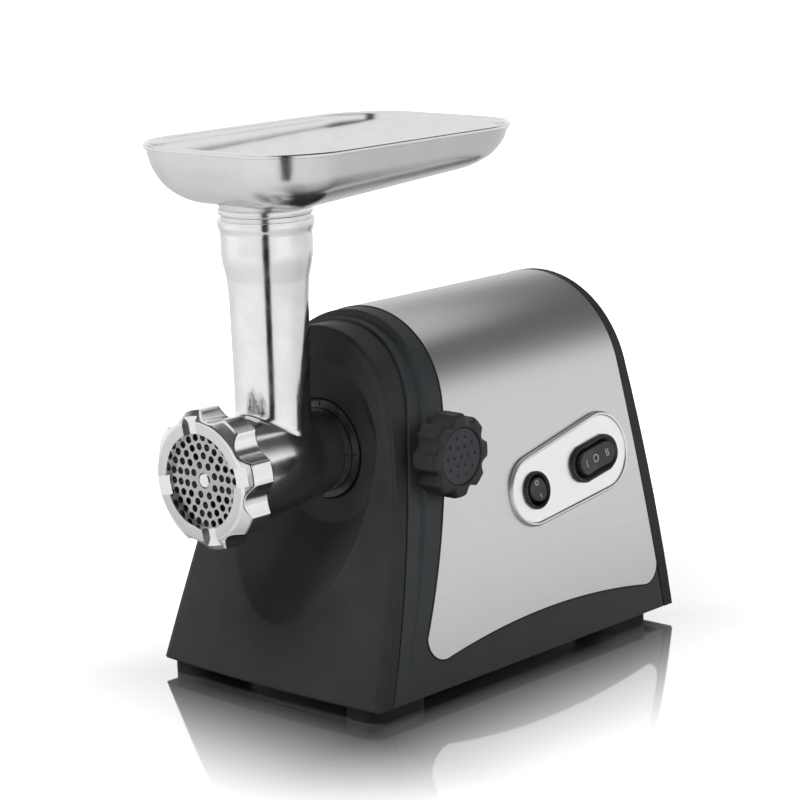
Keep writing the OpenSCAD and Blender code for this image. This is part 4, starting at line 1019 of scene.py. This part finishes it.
# the knob's cap: a greyer moulding, which sets it off from the lobes
cap_abs = moulded("moulded_cap_abs", "35363a", 0.5, "3b3c40")
print("plastics:", len(slot_finish))

# %% [markdown]
# ### Metals
# A metal keeps the usual IOR: its colour and roughness say everything. Cast aluminium is tumbled and
# polished: bright, a little wavy, with rough patches where the tumbling missed. The wrap is brushed
# along the machine, so its lines are sixty times longer along y than across; they are drawn half a
# millimetre apart, since real ones are finer than a pixel. The blade, shafts, gears, bushes and
# windings are ground, sintered, turned or drawn, and only marks of two millimetres vary their polish.

# %% Metals
metal = partial(surface, Metallic=1.0)
polished = partial(metal, pattern=(14, 4.0), patchy=0.6, ends=(0.25, 0.8), spread=(0.05, 0.12),
                   relief=(9, 3.0, 0.06))
brushed = partial(metal, pattern=(0.5, 3.0), stretch=60, ends=(0.25, 0.8), spread=(0.03, 0.04),
                  relief=(0.5, 3.0, 0.003))
ground = partial(metal, pattern=(2, 4.0), spread=(0.05, 0.1))
slot_finish.update({
    # the head: mirror-like, with the waviness of a casting
    "cast_aluminium": polished("polished_cast_aluminium", "e0e1e2", 0.13, "f0f1f2"),
    # the pan, pressed sheet: a little softer, so that its wall shades smoothly
    "tray_sheet": polished("polished_pan_aluminium", "dcddde", 0.16, "e6e7e8"),
    # the control plate: silver paint, an even glow that blurs what it mirrors
    "silver_trim": polished("satin_silver_paint", "f6f7f9", 0.34, "fbfbfc"),
    # the stainless wrap: a calm, soft sheen that runs across the crown
    "brushed_wrap": brushed("brushed_stainless_sheet", "d3d3d1", 0.36, "dadad8"),
    # hardened steel, ground bright: the plate and the blade
    "steel_blade": ground("ground_blade_steel", "b4b5b6", 0.3),
    # shafts and screws: a little darker and smoother
    "shaft_steel": ground("ground_shaft_steel", "a8a9ab", 0.26),
    # sintered gears: dark grey and porous, so they hardly mirror
    "sintered_gear": ground("sintered_gear_steel", "6e6f72", 0.5),
    # bushes: warm bronze, wet with oil
    "bronze_bush": ground("oiled_bronze", "b98a4a", 0.34),
    # the stack: stamped sheets, whose cut edges look dull
    "lamination": ground("stamped_lamination", "7c7d80", 0.48),
    # windings: copper under reddish enamel
    "copper_wire": ground("enamelled_copper_wire", "b0603a", 0.35),
    # commutator: bare copper, turned bright
    "copper_bar": ground("turned_copper", "d08a5e", 0.3),
    # brackets: pressure-cast zinc, grey and soft
    "bracket_zinc": ground("zinc_casting", "a3a5a8", 0.46),
})
print("finishes:", len(slot_finish))

# %% [markdown]
# ## Dressing the pieces
# The record says which finish each CAD node takes, and each new piece names its own slot. The knob's cap
# shares the knob's slot but is a separate, greyer moulding.

# %% Give every piece its finish
slot_of = {part["node"]: part["material_slot"] for part in frame["record"]["subparts"]}
for name, node in frame["nodes"].items():
    node.data.materials.clear()
    node.data.materials.append(slot_finish[slot_of[name]])
frame["nodes"]["knob_cap"].data.materials[0] = cap_abs
new_pieces = [obj for obj in bpy.data.objects if "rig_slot" in obj and obj.name not in frame["nodes"]]
for piece in new_pieces:
    piece.data.materials.clear()
    piece.data.materials.append(slot_finish[piece["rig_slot"]])
print("dressed:", len(frame["nodes"]), "CAD nodes and", len(new_pieces), "new pieces")

# %% [markdown]
# ## Turned face of the nut
# The nut's front rim is faced on a lathe after casting, so it is more matt than the tumbled lobes, with
# fine rings about the auger's axis. The faces that look straight forward there get that finish.

# %% Lathe-faced rim
def lathe_faced(name, tone, lighter, roughness, pitch):
    """Machined aluminium: rings, a noise of the distance from the auger's axis, pitch mm apart."""
    mat = bpy.data.materials.new(name)
    add = start_nodes(mat)
    flat = add("VectorMath", {0: add("TexCoord")["Object"], 1: (1, 0, 1)}, operation="MULTIPLY")[0]
    off = add("VectorMath", {0: flat, 1: (0, 0, AXIS_Z / 1000)}, operation="SUBTRACT")[0]
    radius = add("VectorMath", {0: off}, operation="LENGTH")["Value"]
    rings = add("TexNoise", {"W": radius, "Scale": 1000 / pitch, "Detail": 2.0}, noise_dimensions="1D")[0]
    shader = add("BsdfPrincipled", {
        "Base Color": add("ValToRGB", {"Fac": rings}, stops=[(0.3, tone), (0.7, lighter)])[0],
        "Normal": add("Bump", {"Height": rings, "Distance": 0.004 / 1000})[0],
        "Roughness": roughness, "Metallic": 1.0})
    add("OutputMaterial", {"Surface": shader[0]})
    return mat


# a flat silver ring that stays bright from the side
nut.data.materials.append(lathe_faced("lathe_faced_aluminium", "cccece", "d6d8d8", 0.32, 0.4))
faces = nut.data.polygons
normals, centres = np.empty(3 * len(faces), np.float32), np.empty(3 * len(faces), np.float32)
faces.foreach_get("normal", normals)
faces.foreach_get("center", centres)
on_rim = (normals[1::3] < -0.98) & (centres[1::3] < (THROAT_Y + NUT_Y0 + 0.2) / 1000)
faces.foreach_set("material_index", on_rim.astype(np.int32))
print("lathe-faced faces:", on_rim.sum())

# %% [markdown]
# ## Printed marks
# Plain marks tell the switches' sides apart: a bar and a ring on the power rocker, and one bar, a ring
# and two bars on the direction rocker. Each is a thin layer of ink that follows the roof under it: four
# rings, from its outer edge over its top to an inner outline. A bar's inner outline is a hairline.

# %% Marks on the rockers
INK, INK_ROOT = 0.03, -0.1
# pale ink, without any gloss of its own
switch_ink = satin("pad_printed_ink", "b4b5b7", 0.5)


def printed(name, outline, hole, roof, place, body):
    """Layer of ink between two outlines (n, 2) on a rocker's roof."""
    rings = [(outline, INK_ROOT), (outline, INK), (hole, INK), (hole, INK_ROOT)]
    grid = np.stack([place(o[:, 0], o[:, 1], roof(o[:, 0], o[:, 1]) + w) for o, w in rings], 1)
    skin(name, grid, body).data.materials.append(switch_ink)


def bar(u, v, hu, hv):
    """Outline of a bar with round ends."""
    return stadium((u, v), hu, hv, min(hu, hv) * 0.6, 5)


POWER_ROCKER = (power_roof, power_place, "power_rocker")
TURN_ROCKER = (turn_roof, turn_place, "direction_rocker")
printed("power_mark_ring", circle((0, 4.1), 1.55, 48), circle((0, 4.1), 1.0, 48), *POWER_ROCKER)
printed("power_mark_bar", bar(0, -4.0, 0.32, 1.35), bar(0, -4.0, 0.05, 1.0), *POWER_ROCKER)
printed("direction_mark_ring", circle((0, 0), 2.5, 48), circle((0, 0), 1.85, 48), *TURN_ROCKER)
for k, u in enumerate((-10.2, 9.4, 11.0)):
    printed(f"direction_mark_bar_{k}", bar(u, 0, 0.38, 2.3), bar(u, 0, 0.05, 1.9), *TURN_ROCKER)

# %% [markdown]
# ## Studio floor
# The floor is white acrylic. Beside the machine it mirrors it, and over a hand's width the mirror fades
# into plain white. The fade follows the distance to the casing's footprint, a rectangle. The camera
# sees the floor glow up to white further out, so that it has no edge, and polished metal sees a little.

# %% Floor
FOOTPRINT_AT, FOOTPRINT_HALF = (0, 0.02, 0), (0.0885, 0.14, 0)


def card(name, corners, mat):
    """Four corners as a flat card of the studio, which isn't part of the machine."""
    mesh = bpy.data.meshes.new(name)
    mesh.from_pydata(corners, [], [(0, 1, 2, 3)])
    mesh.materials.append(mat)
    obj = bpy.data.objects.new(name, mesh)
    bpy.context.scene.collection.objects.link(obj)
    return obj


def floor_acrylic(name):
    """White acrylic; away is the length of max(|p - middle| - half, 0), in metres."""
    mat = bpy.data.materials.new(name)
    add = start_nodes(mat)
    path = add("LightPath")
    p = add("VectorMath", {0: add("TexCoord")["Object"], 1: FOOTPRINT_AT}, operation="SUBTRACT")[0]
    p = add("VectorMath", {0: p}, operation="ABSOLUTE")[0]
    p = add("VectorMath", {0: p, 1: FOOTPRINT_HALF}, operation="SUBTRACT")[0]
    p = add("VectorMath", {0: p, 1: (0, 0, 0)}, operation="MAXIMUM")[0]
    away = add("VectorMath", {0: p}, operation="LENGTH")["Value"]
    mirror = add("MapRange", {"Value": away, "From Max": 0.17, "To Min": 0.96, "To Max": 0.06},
                 interpolation_type="SMOOTHSTEP")[0]
    glow = add("MapRange", {"Value": away, "From Max": 0.34})[0]
    faint = add("MapRange", {"Value": away, "From Min": 0.2, "From Max": 2.5, "To Max": 0.3})[0]
    shown = add("Math", {0: path["Is Camera Ray"], 1: glow}, operation="MULTIPLY")[0]
    mirrored = add("Math", {0: path["Is Glossy Ray"], 1: faint}, operation="MULTIPLY")[0]
    # to reflections the floor is e2e2e2, to all other rays f8f8f8: painted shade in the floor that the metal
    # mirrors
    shader = add("BsdfPrincipled", {
        "Base Color": add("ValToRGB", {"Fac": path["Is Glossy Ray"]},
                          stops=[(0.0, "f8f8f8"), (1.0, "e2e2e2")])[0],
        "Metallic": mirror, "Roughness": 0.06, "Emission Color": (1, 1, 1, 1),
        "Emission Strength": add("Math", {0: shown, 1: mirrored}, operation="ADD")[0]})
    add("OutputMaterial", {"Surface": shader[0]})
    return mat


card("studio_floor", [(-7, -7, 0), (7, -7, 0), (7, 7, 0), (-7, 7, 0)], floor_acrylic("white_floor_acrylic"))
print("the mirror fades over 170 mm, the glow over 340 mm")

# %% [markdown]
# ## Studio world
# The backdrop is plain white to the camera. Polished metal mirrors white low down and darkness overhead,
# as in a studio with a low white sweep, and everything is lit a little from all sides.

# %% World
world = bpy.data.worlds.new("studio")
add = start_nodes(world)
path = add("LightPath")
height = add("SeparateXYZ", {0: add("TexCoord")["Generated"]})["Z"]
sweep = add("MapRange", {"Value": height, "From Min": 0.24, "From Max": 0.52, "To Min": 1.0, "To Max": 0.1},
            interpolation_type="SMOOTHSTEP")[0]
even, glossy, white = [add("Background", {"Color": (1, 1, 1, 1), "Strength": strength})[0]
                       for strength in (0.18, sweep, 1.0)]
lit = add("MixShader", {0: path["Is Glossy Ray"], 1: even, 2: glossy})[0]
add("OutputWorld", {0: add("MixShader", {0: path["Is Camera Ray"], 1: lit, 2: white})[0]})
bpy.context.scene.world = world
print("world nodes:", len(world.node_tree.nodes))

# %% [markdown]
# ## Cards for the reflections
# Polished metal looks like whatever stands round it. A black card beside the camera and one on the floor
# draw the dark lines down the throat and the barrel, and a glowing card over the pan lights its inside.
# Only reflections see them.

# %% Flags and reflector
def flag(name, corners, glow=0.0):
    """Card seen only by reflections: black, or glowing softly like a lit reflector."""
    mat = bpy.data.materials.new(name)
    add = start_nodes(mat)
    shader = add("BsdfPrincipled", {
        "Base Color": linear("121212"), "Roughness": 1.0, "Specular IOR Level": 0.0,
        "Emission Color": (1, 1, 1, 1), "Emission Strength": glow})
    add("OutputMaterial", {"Surface": shader[0]})
    obj = card(name, corners, mat)
    obj.visible_camera = obj.visible_diffuse = obj.visible_shadow = obj.visible_transmission = False


def toward_camera(far, side, z):
    """Point at a distance from the head toward the camera's side, moved sideways, at height z."""
    return (0.66 * far + 0.72 * side, -0.1 - 0.72 * far + 0.66 * side, z)


NEAR, FAR, NEAR_HALF, FAR_HALF, OFF_FLOOR = 0.25, 1.0, 0.035, 0.15, 0.002
flag("flag_standing", [toward_camera(FAR, side, z) for side, z in
                       ((-FAR_HALF, 0.0), (FAR_HALF, 0.0), (FAR_HALF, 1.5), (-FAR_HALF, 1.5))])
flag("flag_on_floor", [toward_camera(far, side, OFF_FLOOR) for far, side in
                       ((NEAR, -NEAR_HALF), (NEAR, NEAR_HALF), (FAR, FAR_HALF), (FAR, -FAR_HALF))])
flag("reflector_over_pan",
     [(-0.25, -0.35, 0.43), (0.085, -0.35, 0.43), (0.085, 0.26, 0.43), (-0.25, 0.26, 0.43)], 0.95)

# %% [markdown]
# ## Lamps
# Four soft boxes: the key from above in front, a weak one from the left, a fill from the right and one
# from behind that lifts the crown off the backdrop. The metal doesn't mirror them, as the cards do that.

# %% Soft boxes
def soft_box(name, place, aim, width, height, watts):
    """Area lamp that looks from place toward aim, and isn't mirrored in the metal itself."""
    lamp = bpy.data.lights.new(name, "AREA")
    lamp.shape, lamp.size, lamp.size_y, lamp.energy = "RECTANGLE", width, height, watts
    obj = bpy.data.objects.new(name, lamp)
    obj.location = place
    obj.rotation_euler = (Vector(aim) - Vector(place)).to_track_quat("-Z", "Y").to_euler()
    obj.visible_glossy = False
    bpy.context.scene.collection.objects.link(obj)
    print(f"{name}: {watts} W, {width} by {height} m")


soft_box("key_above", (0.05, -0.95, 1.5), (0, -0.08, 0.1), 0.8, 0.6, 24)
soft_box("left", (-1.3, -1.2, 0.5), (0, -0.08, 0.1), 1.2, 0.8, 7)
soft_box("fill_right", (1.7, -0.2, 0.7), (0, 0, 0.15), 1.0, 1.0, 10)
soft_box("rear", (-0.3, 1.2, 1.3), (0, 0.1, 0.1), 1.2, 1.0, 6)

# %% [markdown]
# ## Camera
# A long lens from the front right and a little above. It is held very slightly askew, by its roll.

# %% Camera
CAMERA_AT, CAMERA_AIM = (1.054468, -1.142009, 0.488899), (-0.003910, 0.010172, 0.153764)
CAMERA_ROLL = -1.6628       # degrees
camera = bpy.data.cameras.new("camera")
camera.sensor_width, camera.lens = 36.0, 119.57
camera_object = bpy.data.objects.new("camera", camera)
aim = (Vector(CAMERA_AIM) - Vector(CAMERA_AT)).to_track_quat("-Z", "Y")
camera_object.location = CAMERA_AT
camera_object.rotation_euler = (aim @ Quaternion((0, 0, 1), np.radians(CAMERA_ROLL))).to_euler()
bpy.context.scene.collection.objects.link(camera_object)
bpy.context.scene.camera = camera_object
bpy.context.scene.view_settings.view_transform = "Standard"
print("camera", round((Vector(CAMERA_AT) - Vector(CAMERA_AIM)).length, 2), "m away")
